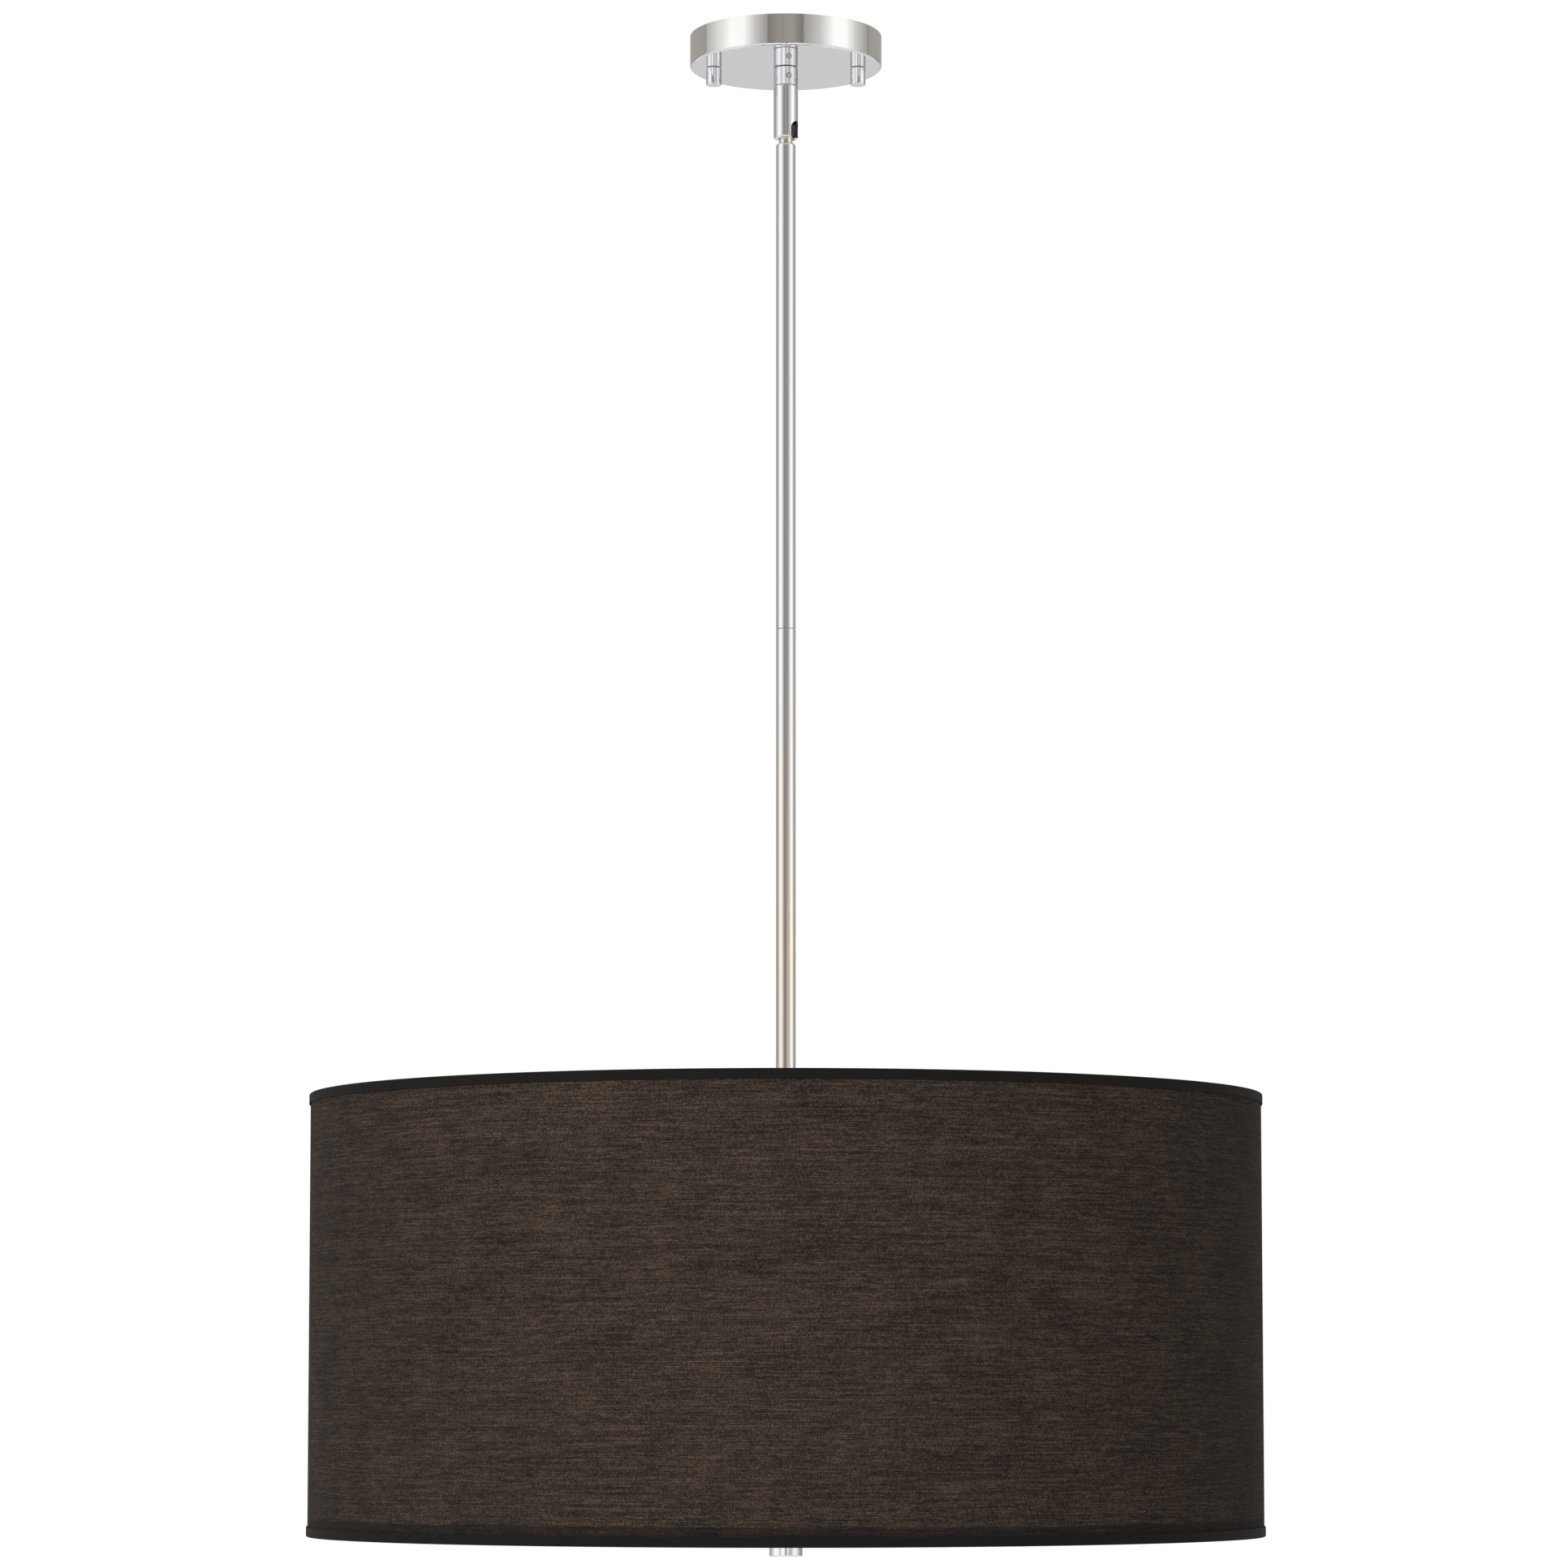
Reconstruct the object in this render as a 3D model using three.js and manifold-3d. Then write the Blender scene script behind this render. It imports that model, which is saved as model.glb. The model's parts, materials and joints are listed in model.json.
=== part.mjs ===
// Drum chandelier: a ceiling canopy, a ball swivel, two joined rods and a fabric drum shade round four lamps.
// Millimetres, +Z up. The origin is the middle of the crossbar's top face, which lies against the ceiling.
import * as THREE from "three";
import { mergeVertices } from "three/addons/utils/BufferGeometryUtils.js";
import Module from "manifold-3d";

const wasm = await Module();
wasm.setup();

// Clearances shared by all pieces
const fitGap = 0.3;
const cutOverrun = 1;
const mergeTolerance = 0.0001;

// How finely round things are faceted
const shadeSides = 60;
const canopySides = 40;
const stemSides = 20;
const smallSides = 12;
const wireSides = 8;
const cornerSteps = 3;
const ballSteps = 8;

// Crossbar, the strap that is screwed to the ceiling box
const crossbarPastStud = 9;
const crossbarWidth = 18;
const crossbarThickness = 2;
const crossbarCornerRadius = 4;
const boxSlotInner = 22;
const boxSlotFromStud = 8;
const boxSlotWidth = 4.8;
const groundScrewOffset = 14;
const groundScrewDiameter = 3.6;
const groundHeadDiameter = 7;
const groundHeadHeight = 3;

// Canopy studs, their nuts and the knobs that carry the canopy
const studInset = 15.5;
const studDiameter = 4;
const studInKnob = 8;
const studNutFlats = 7;
const studNutHeight = 3;
const knobDiameter = 10.1;
const knobHeight = 11.3;
const knobEdgeRadius = 1;

// Canopy
const canopyDiameter = 125;
const canopyHeight = 20.7;
const canopyWall = 0.9;
const canopyEdgeRadius = 1.65;

// Hollow threaded pipe that every nipple is cut from
const pipeDiameter = 9.5;
const pipeBore = 6.4;
const pipeNutFlats = 14;
const pipeNutHeight = 4;
const washerDiameter = 22;
const washerThickness = 1;

// Swivel
const collarLength = 11.9;
const setScrewDiameter = 3.2;
const setScrewKeyDiameter = 1.6;
const setScrewKeyDepth = 1;
const setScrewDrop = 6.4;
const setScrewAzimuth = THREE.MathUtils.degToRad(14.6);
const nippleAboveNut = 2;
const nippleFlangeReach = 1.45;
const nippleFlangeThickness = 2.2;
const thrustWasherThickness = 0.8;
const housingLength = 34.85;
const housingWeb = 3;
const housingWall = 1.35;
const housingEdgeRadius = 3.5;
const ballPastFlange = 0.1;
const ballAboveHousingEnd = 6.55;
const slotPlay = 0.35;
const slotAzimuth = THREE.MathUtils.degToRad(62);
const neckDiameter = 8.8;
const neckShowing = 3;
const studBarrelLength = 14.65;
const studShoulderRadius = 1.75;
const studPipeDepth = 8.7;
const wireBore = 5.2;

// Rods
const rodWall = 1.3;
const rodLength = 304.5;
const pipeInRod = 10;

// Shade
const shadeDiameter = 609.6;
const shadeHeight = 279.9;
const hemDepth = 6.3;
const hemThickness = 0.5;
const fabricThickness = 0.8;
const linerThickness = 0.8;
const ringWire = 4;
const ringRise = 1.9;
const spiderHubDiameter = 40;
const spiderHubThickness = 2.5;
const spiderArmCount = 3;
const spiderFirstArm = THREE.MathUtils.degToRad(90);
const hubWasherThickness = 1.6;

// Lamp cluster
const clusterDiameter = 80;
const clusterHeight = 30;
const clusterWall = 1.3;
const coverThickness = 2;
const coverLipHeight = 6;
const coverLipThickness = 1.5;
const clusterPipeExtra = 2;
const lampCount = 4;
const firstLamp = THREE.MathUtils.degToRad(45);
const lampReach = 120;
const armDiameter = 8;
const armBore = 5.6;
const armAboveCover = 14.3;
const armInside = 10;
const armBend = 20;
const armSteps = 12;
const armInSocket = 6;

// Lamp sockets and bulbs
const socketDiameter = 34;
const socketHeight = 50;
const socketWall = 3.2;
const socketCavityDepth = 26;
const socketChamfer = 3;
const bulbLength = 108;
const bulbDiameter = 60;
const bulbBaseShowing = 1.3;
const bulbContactDiameter = 10;
const bulbContactHeight = 1.5;
const bulbNeckSteps = 5;
const bulbNeckPullShare = 0.45;

// Centre rod, diffuser and finial
const centreRodDiameter = 6;
const centreRodAboveNut = 3;
const rodNutFlats = 10;
const rodNutHeight = 5;
const diffuserEdgeGap = 1.5;
const diffuserThickness = 3;
const diffuserRecess = 2.2;
const plateWasherDiameter = 32;
const plateWasherThickness = 1.2;
const finialDiameter = 21.3;
const finialHeight = 13.8;
const finialEdgeRadius = 1;
const finialBoreDepth = 10;

// Wiring
const cordDiameter = 4;
const cordBelowPipe = 4;
const leadDiameter = 1.8;
const leadCircle = 3.4;
const leadClearOfBall = 1;
const leadSteps = 16;
const wireNutDiameter = 9;
const wireNutTipDiameter = 6;
const wireNutLength = 16;
const wireNutBore = 3;
const wireNutBoreDepth = 6;
const wireNutSide = 10;
const wireNutReach = 27;
const leadBend = 5;

// Places of the studs and the crossbar's slots, from the canopy's edge inwards
const studSpacing = canopyDiameter - 2 * studInset;
const crossbarLength = studSpacing + 2 * crossbarPastStud;
const boxSlotOuter = studSpacing / 2 - boxSlotFromStud;

// Radii that several pieces share; the swivel and the rods are as wide as the pipe inside them needs
const pipeRadius = pipeDiameter / 2;
const pipeHole = pipeRadius + fitGap;
const studHole = studDiameter / 2 + fitGap;
const flangeRadius = pipeRadius + nippleFlangeReach;
const ballRadius = flangeRadius + ballPastFlange;
const seatRadius = ballRadius + fitGap;
const swivelRadius = seatRadius + housingWall;
const neckRadius = neckDiameter / 2;
const slotRadius = neckRadius + slotPlay;
const rodRadius = pipeHole + rodWall;
const centreRodRadius = centreRodDiameter / 2;
const centreRodHole = centreRodRadius + fitGap;
const armRadius = armDiameter / 2;

// Heights, from the ceiling down
const canopyUnderside = -canopyHeight;
const canopyFloor = canopyUnderside + canopyWall;
const lockWasherTop = canopyFloor + fitGap + washerThickness;
const lockNutTop = lockWasherTop + fitGap + pipeNutHeight;
const swivelNippleTop = lockNutTop + nippleAboveNut;
const collarTop = canopyUnderside - fitGap;
const collarBottom = collarTop - collarLength;
const housingTop = collarBottom - fitGap;
const housingBottom = housingTop - housingLength;
const webBottom = housingTop - housingWeb;
const thrustWasherTop = webBottom - fitGap;
const flangeTop = thrustWasherTop - thrustWasherThickness - fitGap;
const ballCentre = housingBottom + ballAboveHousingEnd;
const shoulderTop = housingBottom - neckShowing;
const studBottom = shoulderTop - studBarrelLength;
const studPipeTop = studBottom + studPipeDepth;
const upperRodTop = studBottom - fitGap;
const upperRodBottom = upperRodTop - rodLength;
const lowerRodTop = upperRodBottom - fitGap;
const lowerRodBottom = lowerRodTop - rodLength;
const hubWasherTop = lowerRodBottom - fitGap;
const hubTop = hubWasherTop - hubWasherThickness - fitGap;
const hubBottom = hubTop - spiderHubThickness;
const spiderArmHeight = hubBottom + ringWire / 2;
const topRingHeight = spiderArmHeight + ringRise;
const shadeTop = topRingHeight + ringWire / 2 + fitGap + hemThickness;
const shadeBottom = shadeTop - shadeHeight;
const bottomRingHeight = shadeBottom + hemThickness + fitGap + ringWire / 2;
const hemFoldDepth = shadeTop - (spiderArmHeight + ringWire / 2 + fitGap);
const clusterTop = hubBottom - fitGap;
const clusterBottom = clusterTop - clusterHeight;
const clusterNutTop = clusterTop - clusterWall - fitGap;
const clusterPipeBottom = clusterNutTop - pipeNutHeight - clusterPipeExtra;
const coverTop = clusterBottom - fitGap;
const coverBottom = coverTop - coverThickness;
const armHeight = coverTop + armAboveCover;
const armEnd = armHeight - armBend - armInSocket;
const socketTop = armHeight - armBend;
const socketBottom = socketTop - socketHeight;
const socketCavityTop = socketBottom + socketCavityDepth;
const bulbTop = socketCavityTop - fitGap;
const diffuserBottom = shadeBottom + diffuserRecess;
const diffuserTop = diffuserBottom + diffuserThickness;
const stopWasherTop = diffuserTop + fitGap + plateWasherThickness;
const stopNutTop = stopWasherTop + fitGap + rodNutHeight;
const finialWasherTop = diffuserBottom - fitGap;
const finialTop = finialWasherTop - plateWasherThickness - fitGap;
const finialBottom = finialTop - finialHeight;
const upperNutTop = coverTop + fitGap + rodNutHeight;
const centreRodTop = upperNutTop + centreRodAboveNut;
const centreRodBottom = finialTop - finialBoreDepth + fitGap;

// Radii of the shade's layers, from the outside in
const shadeRadius = shadeDiameter / 2;
const fabricRadius = shadeRadius - hemThickness - fitGap;
const linerRadius = fabricRadius - fabricThickness - fitGap;
const ringCircle = linerRadius - linerThickness - fitGap - ringWire / 2;
const hemInnerRadius = ringCircle - ringWire / 2 - fitGap - hemThickness;
const diffuserRadius = hemInnerRadius - diffuserEdgeGap;

// Finishes
function finish(color, roughness, metalness) {
  return () => new THREE.MeshStandardMaterial({ color, roughness, metalness });
}
const chrome = finish(0xc9cbcf, 0.08, 1);
const satinNickel = finish(0xb9b4aa, 0.3, 1);
const zincSteel = finish(0x9fa3a6, 0.45, 1);
const brass = finish(0xb08d4a, 0.35, 1);
const groundGreen = finish(0x3c7a45, 0.4, 1);
const shadeFabric = finish(0x3c322b, 0.9, 0);
const hemFabric = finish(0x242222, 0.85, 0);
const whiteStyrene = finish(0xece6da, 0.6, 0);
const whiteEnamel = finish(0xe8e8e4, 0.4, 0);
const opalAcrylic = finish(0xf4f1ea, 0.5, 0);
const phenolic = finish(0x2a2826, 0.5, 0);
const bulbGlass = finish(0xf7f4ec, 0.25, 0);
const blackInsulation = finish(0x1c1c1c, 0.5, 0);
const whiteInsulation = finish(0xe6e4de, 0.5, 0);
const greenInsulation = finish(0x3f8f4f, 0.5, 0);
const wireNutPlastic = finish(0xc8702a, 0.45, 0);

const chandelier = new THREE.Group();

// Adds one named piece to the group.
function piece(name, material, geometry) {
  const mesh = new THREE.Mesh(geometry, material());
  mesh.name = name;
  chandelier.add(mesh);
  return mesh;
}

// The area inside an outline, positive when its points run anticlockwise.
function outlineArea(outline) {
  return outline.reduce((sum, [r, z], i) => {
    const [nextR, nextZ] = outline[(i + 1) % outline.length];
    return sum + (r * nextZ - nextR * z) / 2;
  }, 0);
}

// A body turned about Z from an outline of [radius, height] points. The outline ends on the axis or closes.
function turned(outline, sides) {
  const ordered = outlineArea(outline) > 0 ? [...outline] : [...outline].reverse();
  const onAxis = ordered.some(([r]) => r === 0);
  if (onAxis) {
    while (ordered[0][0] !== 0 || ordered[ordered.length - 1][0] !== 0) ordered.push(ordered.shift());
  } else {
    ordered.push(ordered[0]);
  }
  const points = ordered.map(([r, z]) => new THREE.Vector2(r, z));
  return new THREE.LatheGeometry(points, sides).rotateX(Math.PI / 2);
}

// A straight sleeve, or a washer when it is short.
function sleeve(outerRadius, innerRadius, top, bottom, sides) {
  const outline = [
    [innerRadius, bottom],
    [outerRadius, bottom],
    [outerRadius, top],
    [innerRadius, top],
  ];
  return turned(outline, sides);
}

// A solid round bar along Z.
function bar(radius, top, bottom, sides) {
  const outline = [
    [0, bottom],
    [radius, bottom],
    [radius, top],
    [0, top],
  ];
  return turned(outline, sides);
}

// Points of an arc in the [radius, height] plane, angles in degrees anticlockwise from the radius direction.
function arc(centreR, centreZ, radius, fromDegrees, toDegrees, steps) {
  return Array.from({ length: steps + 1 }, (_, i) => {
    const angle = THREE.MathUtils.degToRad(fromDegrees + ((toDegrees - fromDegrees) * i) / steps);
    return [centreR + radius * Math.cos(angle), centreZ + radius * Math.sin(angle)];
  });
}

// The rounded lower edge of a turned body, from its underside to its side.
function roundedFoot(radius, bottom, edgeRadius, steps) {
  return arc(radius - edgeRadius, bottom + edgeRadius, edgeRadius, -90, 0, steps);
}

// A hexagon nut with a round hole.
function hexNut(acrossFlats, holeRadius, top, height) {
  const corner = acrossFlats / 2 / Math.cos(Math.PI / 6);
  const outline = new THREE.Shape(
    Array.from({ length: 6 }, (_, i) => {
      const angle = (i * Math.PI) / 3;
      return new THREE.Vector2(corner * Math.cos(angle), corner * Math.sin(angle));
    }),
  );
  outline.holes.push(new THREE.Path().absarc(0, 0, holeRadius, 0, 2 * Math.PI, true));
  const nut = new THREE.ExtrudeGeometry(outline, {
    depth: height,
    bevelEnabled: false,
    curveSegments: smallSides / 2,
  });
  return nut.translate(0, 0, top - height);
}

// A tube along a curve, hollow when it has a bore.
function tubeAlong(curve, radius, bore, sides, steps) {
  const section = new THREE.Shape().absarc(0, 0, radius, 0, 2 * Math.PI, false);
  if (bore > 0) section.holes.push(new THREE.Path().absarc(0, 0, bore, 0, 2 * Math.PI, true));
  return new THREE.ExtrudeGeometry(section, {
    steps,
    curveSegments: sides / 2,
    bevelEnabled: false,
    extrudePath: curve,
  });
}

// Joining and cutting of closed bodies.
function solid(geometry) {
  const bare = geometry.clone();
  bare.deleteAttribute("normal");
  bare.deleteAttribute("uv");
  const merged = mergeVertices(bare, mergeTolerance);
  const mesh = new wasm.Mesh({
    numProp: 3,
    vertProperties: merged.attributes.position.array,
    triVerts: new Uint32Array(merged.index.array),
  });
  return new wasm.Manifold(mesh);
}

function geometryOf(body) {
  const mesh = body.getMesh();
  const geometry = new THREE.BufferGeometry();
  geometry.setAttribute("position", new THREE.BufferAttribute(new Float32Array(mesh.vertProperties), 3));
  geometry.setIndex(new THREE.BufferAttribute(new Uint32Array(mesh.triVerts), 1));
  geometry.computeVertexNormals();
  return geometry;
}

function cut(base, ...tools) {
  return geometryOf(tools.reduce((body, tool) => body.subtract(solid(tool)), solid(base)));
}

function join(first, ...others) {
  return geometryOf(others.reduce((body, other) => body.add(solid(other)), solid(first)));
}

// A round bar that lies level and points away from the axis, from the front towards +X by an azimuth.
function levelBar(radius, fromReach, toReach, height, azimuth, sides) {
  const length = toReach - fromReach;
  return new THREE.CylinderGeometry(radius, radius, length, sides)
    .translate(0, -fromReach - length / 2, 0)
    .rotateZ(azimuth)
    .translate(0, 0, height);
}

// Crossbar
function makeCrossbar() {
  const halfLength = crossbarLength / 2;
  const halfWidth = crossbarWidth / 2;
  const corner = crossbarCornerRadius;
  const strap = new THREE.Shape()
    .moveTo(-halfLength + corner, -halfWidth)
    .lineTo(halfLength - corner, -halfWidth)
    .absarc(halfLength - corner, -halfWidth + corner, corner, -Math.PI / 2, 0, false)
    .absarc(halfLength - corner, halfWidth - corner, corner, 0, Math.PI / 2, false)
    .absarc(-halfLength + corner, halfWidth - corner, corner, Math.PI / 2, Math.PI, false)
    .absarc(-halfLength + corner, -halfWidth + corner, corner, Math.PI, 1.5 * Math.PI, false);
  const roundHole = (x, radius) => new THREE.Path().absarc(x, 0, radius, 0, 2 * Math.PI, true);
  const end = boxSlotWidth / 2;
  for (const side of [-1, 1]) {
    const low = Math.min(side * boxSlotInner, side * boxSlotOuter) + end;
    const high = Math.max(side * boxSlotInner, side * boxSlotOuter) - end;
    const slot = new THREE.Path()
      .absarc(high, 0, end, Math.PI / 2, -Math.PI / 2, true)
      .absarc(low, 0, end, -Math.PI / 2, -1.5 * Math.PI, true);
    strap.holes.push(slot, roundHole((side * studSpacing) / 2, studHole));
  }
  strap.holes.push(roundHole(-groundScrewOffset, groundScrewDiameter / 2 + fitGap));
  const plate = new THREE.ExtrudeGeometry(strap, {
    depth: crossbarThickness,
    bevelEnabled: false,
    curveSegments: smallSides / 2,
  });
  piece("crossbar", zincSteel, plate.translate(0, 0, -crossbarThickness));
}

function makeGroundScrew() {
  const headTop = -crossbarThickness - fitGap;
  const shank = groundScrewDiameter / 2;
  const head = groundHeadDiameter / 2;
  const outline = [
    [0, -fitGap],
    [shank, -fitGap],
    [shank, headTop],
    [head, headTop],
    [head, headTop - groundHeadHeight],
    [0, headTop - groundHeadHeight],
  ];
  piece("ground_screw", groundGreen, turned(outline, smallSides)).position.x = -groundScrewOffset;
}

// Studs, nuts and knobs on both sides
function makeKnob(name, x) {
  const radius = knobDiameter / 2;
  const top = canopyUnderside - fitGap;
  const bottom = top - knobHeight;
  const outline = [
    [0, bottom],
    ...roundedFoot(radius, bottom, knobEdgeRadius, cornerSteps),
    [radius, top],
    [studHole, top],
    [studHole, canopyUnderside - studInKnob - fitGap],
    [0, canopyUnderside - studInKnob - fitGap],
  ];
  piece(name, chrome, turned(outline, stemSides)).position.x = x;
}

function makeCanopyFixing(side, x) {
  const stud = bar(studDiameter / 2, -fitGap, canopyUnderside - studInKnob, smallSides);
  piece("mount_stud_" + side, zincSteel, stud).position.x = x;
  const nut = hexNut(studNutFlats, studHole, -crossbarThickness - fitGap, studNutHeight);
  piece("stud_nut_" + side, zincSteel, nut).position.x = x;
  makeKnob("knob_" + side, x);
}

// Canopy
function makeCanopy() {
  const radius = canopyDiameter / 2;
  const inner = radius - canopyWall;
  const innerEdge = Math.max(canopyEdgeRadius - canopyWall, canopyWall / 2);
  const outline = [
    [pipeHole, canopyUnderside],
    ...roundedFoot(radius, canopyUnderside, canopyEdgeRadius, cornerSteps),
    [radius, 0],
    [inner, 0],
    ...arc(inner - innerEdge, canopyFloor + innerEdge, innerEdge, 0, -90, cornerSteps - 1),
    [pipeHole, canopyFloor],
  ];
  const holes = [-1, 1].map((side) =>
    bar(studHole, canopyFloor + cutOverrun, canopyUnderside - cutOverrun, smallSides).translate(
      (side * studSpacing) / 2,
      0,
      0,
    ),
  );
  piece("canopy", chrome, cut(turned(outline, canopySides), ...holes));
  const washerRadius = washerDiameter / 2;
  const washer = sleeve(washerRadius, pipeHole, lockWasherTop, canopyFloor + fitGap, stemSides);
  piece("canopy_washer", zincSteel, washer);
  piece("nipple_locknut", brass, hexNut(pipeNutFlats, pipeHole, lockNutTop, pipeNutHeight));
}

// Swivel
function makeSwivelNipple() {
  const bore = pipeBore / 2;
  const outline = [
    [bore, flangeTop - nippleFlangeThickness],
    [flangeRadius, flangeTop - nippleFlangeThickness],
    [flangeRadius, flangeTop],
    [pipeRadius, flangeTop],
    [pipeRadius, swivelNippleTop],
    [bore, swivelNippleTop],
  ];
  piece("swivel_nipple", brass, turned(outline, stemSides));
}

function makeCollar() {
  const height = canopyUnderside - setScrewDrop;
  const hole = setScrewDiameter / 2 + fitGap;
  const screwHole = levelBar(hole, 0, swivelRadius + cutOverrun, height, setScrewAzimuth, smallSides);
  const ring = sleeve(swivelRadius, pipeHole, collarTop, collarBottom, stemSides);
  piece("swivel_collar", chrome, cut(ring, screwHole));
  const outerEnd = swivelRadius;
  const screw = levelBar(setScrewDiameter / 2, pipeHole, outerEnd, height, setScrewAzimuth, smallSides);
  const keyStart = outerEnd - setScrewKeyDepth;
  const key = levelBar(setScrewKeyDiameter / 2, keyStart, outerEnd + cutOverrun, height, setScrewAzimuth, 6);
  piece("collar_set_screw", satinNickel, cut(screw, key));
}

function makeHousing() {
  const seatFrom = -THREE.MathUtils.radToDeg(Math.acos(slotRadius / seatRadius));
  const edgeRadius = Math.min(housingEdgeRadius, swivelRadius - slotRadius);
  const outline = [
    [slotRadius, housingBottom],
    ...roundedFoot(swivelRadius, housingBottom, edgeRadius, 2 * cornerSteps),
    [swivelRadius, housingTop],
    [pipeHole, housingTop],
    [pipeHole, webBottom],
    [seatRadius, webBottom],
    ...arc(0, ballCentre, seatRadius, 0, seatFrom, ballSteps / 2),
  ];
  const slot = new THREE.Shape()
    .moveTo(-slotRadius, housingBottom - cutOverrun)
    .lineTo(slotRadius, housingBottom - cutOverrun)
    .absarc(0, ballCentre, slotRadius, 0, Math.PI, false);
  const slotTool = new THREE.ExtrudeGeometry(slot, {
    depth: swivelRadius + cutOverrun,
    bevelEnabled: false,
    curveSegments: smallSides / 2,
  });
  slotTool.rotateX(Math.PI / 2).rotateZ(slotAzimuth);
  piece("swivel_housing", chrome, cut(turned(outline, 2 * smallSides), slotTool));
  const washerBottom = thrustWasherTop - thrustWasherThickness;
  const washer = sleeve(flangeRadius, pipeHole, thrustWasherTop, washerBottom, stemSides);
  piece("thrust_washer", satinNickel, washer);
}

function makeBallStud() {
  const bore = wireBore / 2;
  const topAngle = THREE.MathUtils.radToDeg(Math.acos(bore / ballRadius));
  const neckAngle = -THREE.MathUtils.radToDeg(Math.acos(neckRadius / ballRadius));
  const shoulder = studShoulderRadius;
  const outline = [
    [bore, studPipeTop],
    [pipeHole, studPipeTop],
    [pipeHole, studBottom],
    [rodRadius, studBottom],
    ...arc(rodRadius - shoulder, shoulderTop - shoulder, shoulder, 0, 90, cornerSteps),
    [neckRadius, shoulderTop],
    ...arc(0, ballCentre, ballRadius, neckAngle, topAngle, ballSteps),
  ];
  piece("ball_stud", satinNickel, turned(outline, stemSides));
}

// Rods and the pipes that join them
function makePipe(name, top, bottom) {
  piece(name, brass, sleeve(pipeRadius, pipeBore / 2, top, bottom, stemSides));
}

function makeRods() {
  makePipe("stud_nipple", studPipeTop - fitGap, upperRodTop - pipeInRod);
  piece("upper_rod", chrome, sleeve(rodRadius, pipeHole, upperRodTop, upperRodBottom, stemSides));
  makePipe("rod_coupler", upperRodBottom + pipeInRod, lowerRodTop - pipeInRod);
  piece("lower_rod", chrome, sleeve(rodRadius, pipeHole, lowerRodTop, lowerRodBottom, stemSides));
  makePipe("cluster_nipple", lowerRodBottom + pipeInRod, clusterPipeBottom);
}

// Shade
function wireRing(height) {
  return turned(arc(ringCircle, height, ringWire / 2, 0, 360, wireSides).slice(0, -1), shadeSides);
}

function makeSpider() {
  const washerBottom = hubWasherTop - hubWasherThickness;
  const washer = sleeve(washerDiameter / 2, pipeHole, hubWasherTop, washerBottom, stemSides);
  piece("hub_washer", zincSteel, washer);
  const hub = sleeve(spiderHubDiameter / 2, pipeHole, hubTop, hubBottom, stemSides);
  const armStart = (spiderHubDiameter / 2 + pipeHole) / 2;
  const arms = Array.from({ length: spiderArmCount }, (_, i) => {
    const azimuth = spiderFirstArm + Math.PI / 2 + (i * 2 * Math.PI) / spiderArmCount;
    return levelBar(ringWire / 2, armStart, ringCircle, spiderArmHeight, azimuth, wireSides);
  });
  piece("shade_spider", whiteEnamel, join(hub, ...arms, wireRing(topRingHeight)));
  piece("bottom_ring", whiteEnamel, wireRing(bottomRingHeight));
}

// A folded band over one edge of the drum; inward is -1 at the top edge and 1 at the bottom edge.
function hemBand(edge, inward) {
  const outer = shadeRadius;
  const inner = hemInnerRadius;
  const outline = [
    [outer, edge + inward * hemDepth],
    [outer, edge],
    [inner, edge],
    [inner, edge + inward * hemFoldDepth],
    [inner + hemThickness, edge + inward * hemFoldDepth],
    [inner + hemThickness, edge + inward * hemThickness],
    [outer - hemThickness, edge + inward * hemThickness],
    [outer - hemThickness, edge + inward * hemDepth],
  ];
  return turned(outline, shadeSides);
}

function makeShade() {
  const edge = hemThickness + fitGap;
  const top = shadeTop - edge;
  const bottom = shadeBottom + edge;
  const liner = sleeve(linerRadius, linerRadius - linerThickness, top, bottom, shadeSides);
  piece("shade_liner", whiteStyrene, liner);
  const fabric = sleeve(fabricRadius, fabricRadius - fabricThickness, top, bottom, shadeSides);
  piece("shade_fabric", shadeFabric, fabric);
  piece("top_hem", hemFabric, hemBand(shadeTop, -1));
  piece("bottom_hem", hemFabric, hemBand(shadeBottom, 1));
}

// Lamp cluster
function lampAzimuth(i) {
  return firstLamp + (i * 2 * Math.PI) / lampCount;
}

function makeCluster() {
  const radius = clusterDiameter / 2;
  const inner = radius - clusterWall;
  const outline = [
    [pipeHole, clusterTop],
    [radius - clusterWall, clusterTop],
    [radius, clusterTop - clusterWall],
    [radius, clusterBottom],
    [inner, clusterBottom],
    [inner, clusterTop - clusterWall],
    [pipeHole, clusterTop - clusterWall],
  ];
  const hole = armRadius + fitGap;
  const holes = Array.from({ length: lampCount }, (_, i) =>
    levelBar(hole, radius - armInside, radius + cutOverrun, armHeight, lampAzimuth(i), smallSides),
  );
  piece("cluster_body", chrome, cut(turned(outline, 2 * smallSides), ...holes));
  piece("cluster_nut", brass, hexNut(pipeNutFlats, pipeHole, clusterNutTop, pipeNutHeight));
  const lip = inner - fitGap;
  const coverOutline = [
    [centreRodHole, coverBottom],
    [radius, coverBottom],
    [radius, coverTop],
    [lip, coverTop],
    [lip, coverTop + coverLipHeight],
    [lip - coverLipThickness, coverTop + coverLipHeight],
    [lip - coverLipThickness, coverTop],
    [centreRodHole, coverTop],
  ];
  piece("cluster_cover", chrome, turned(coverOutline, 2 * smallSides));
}

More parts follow.
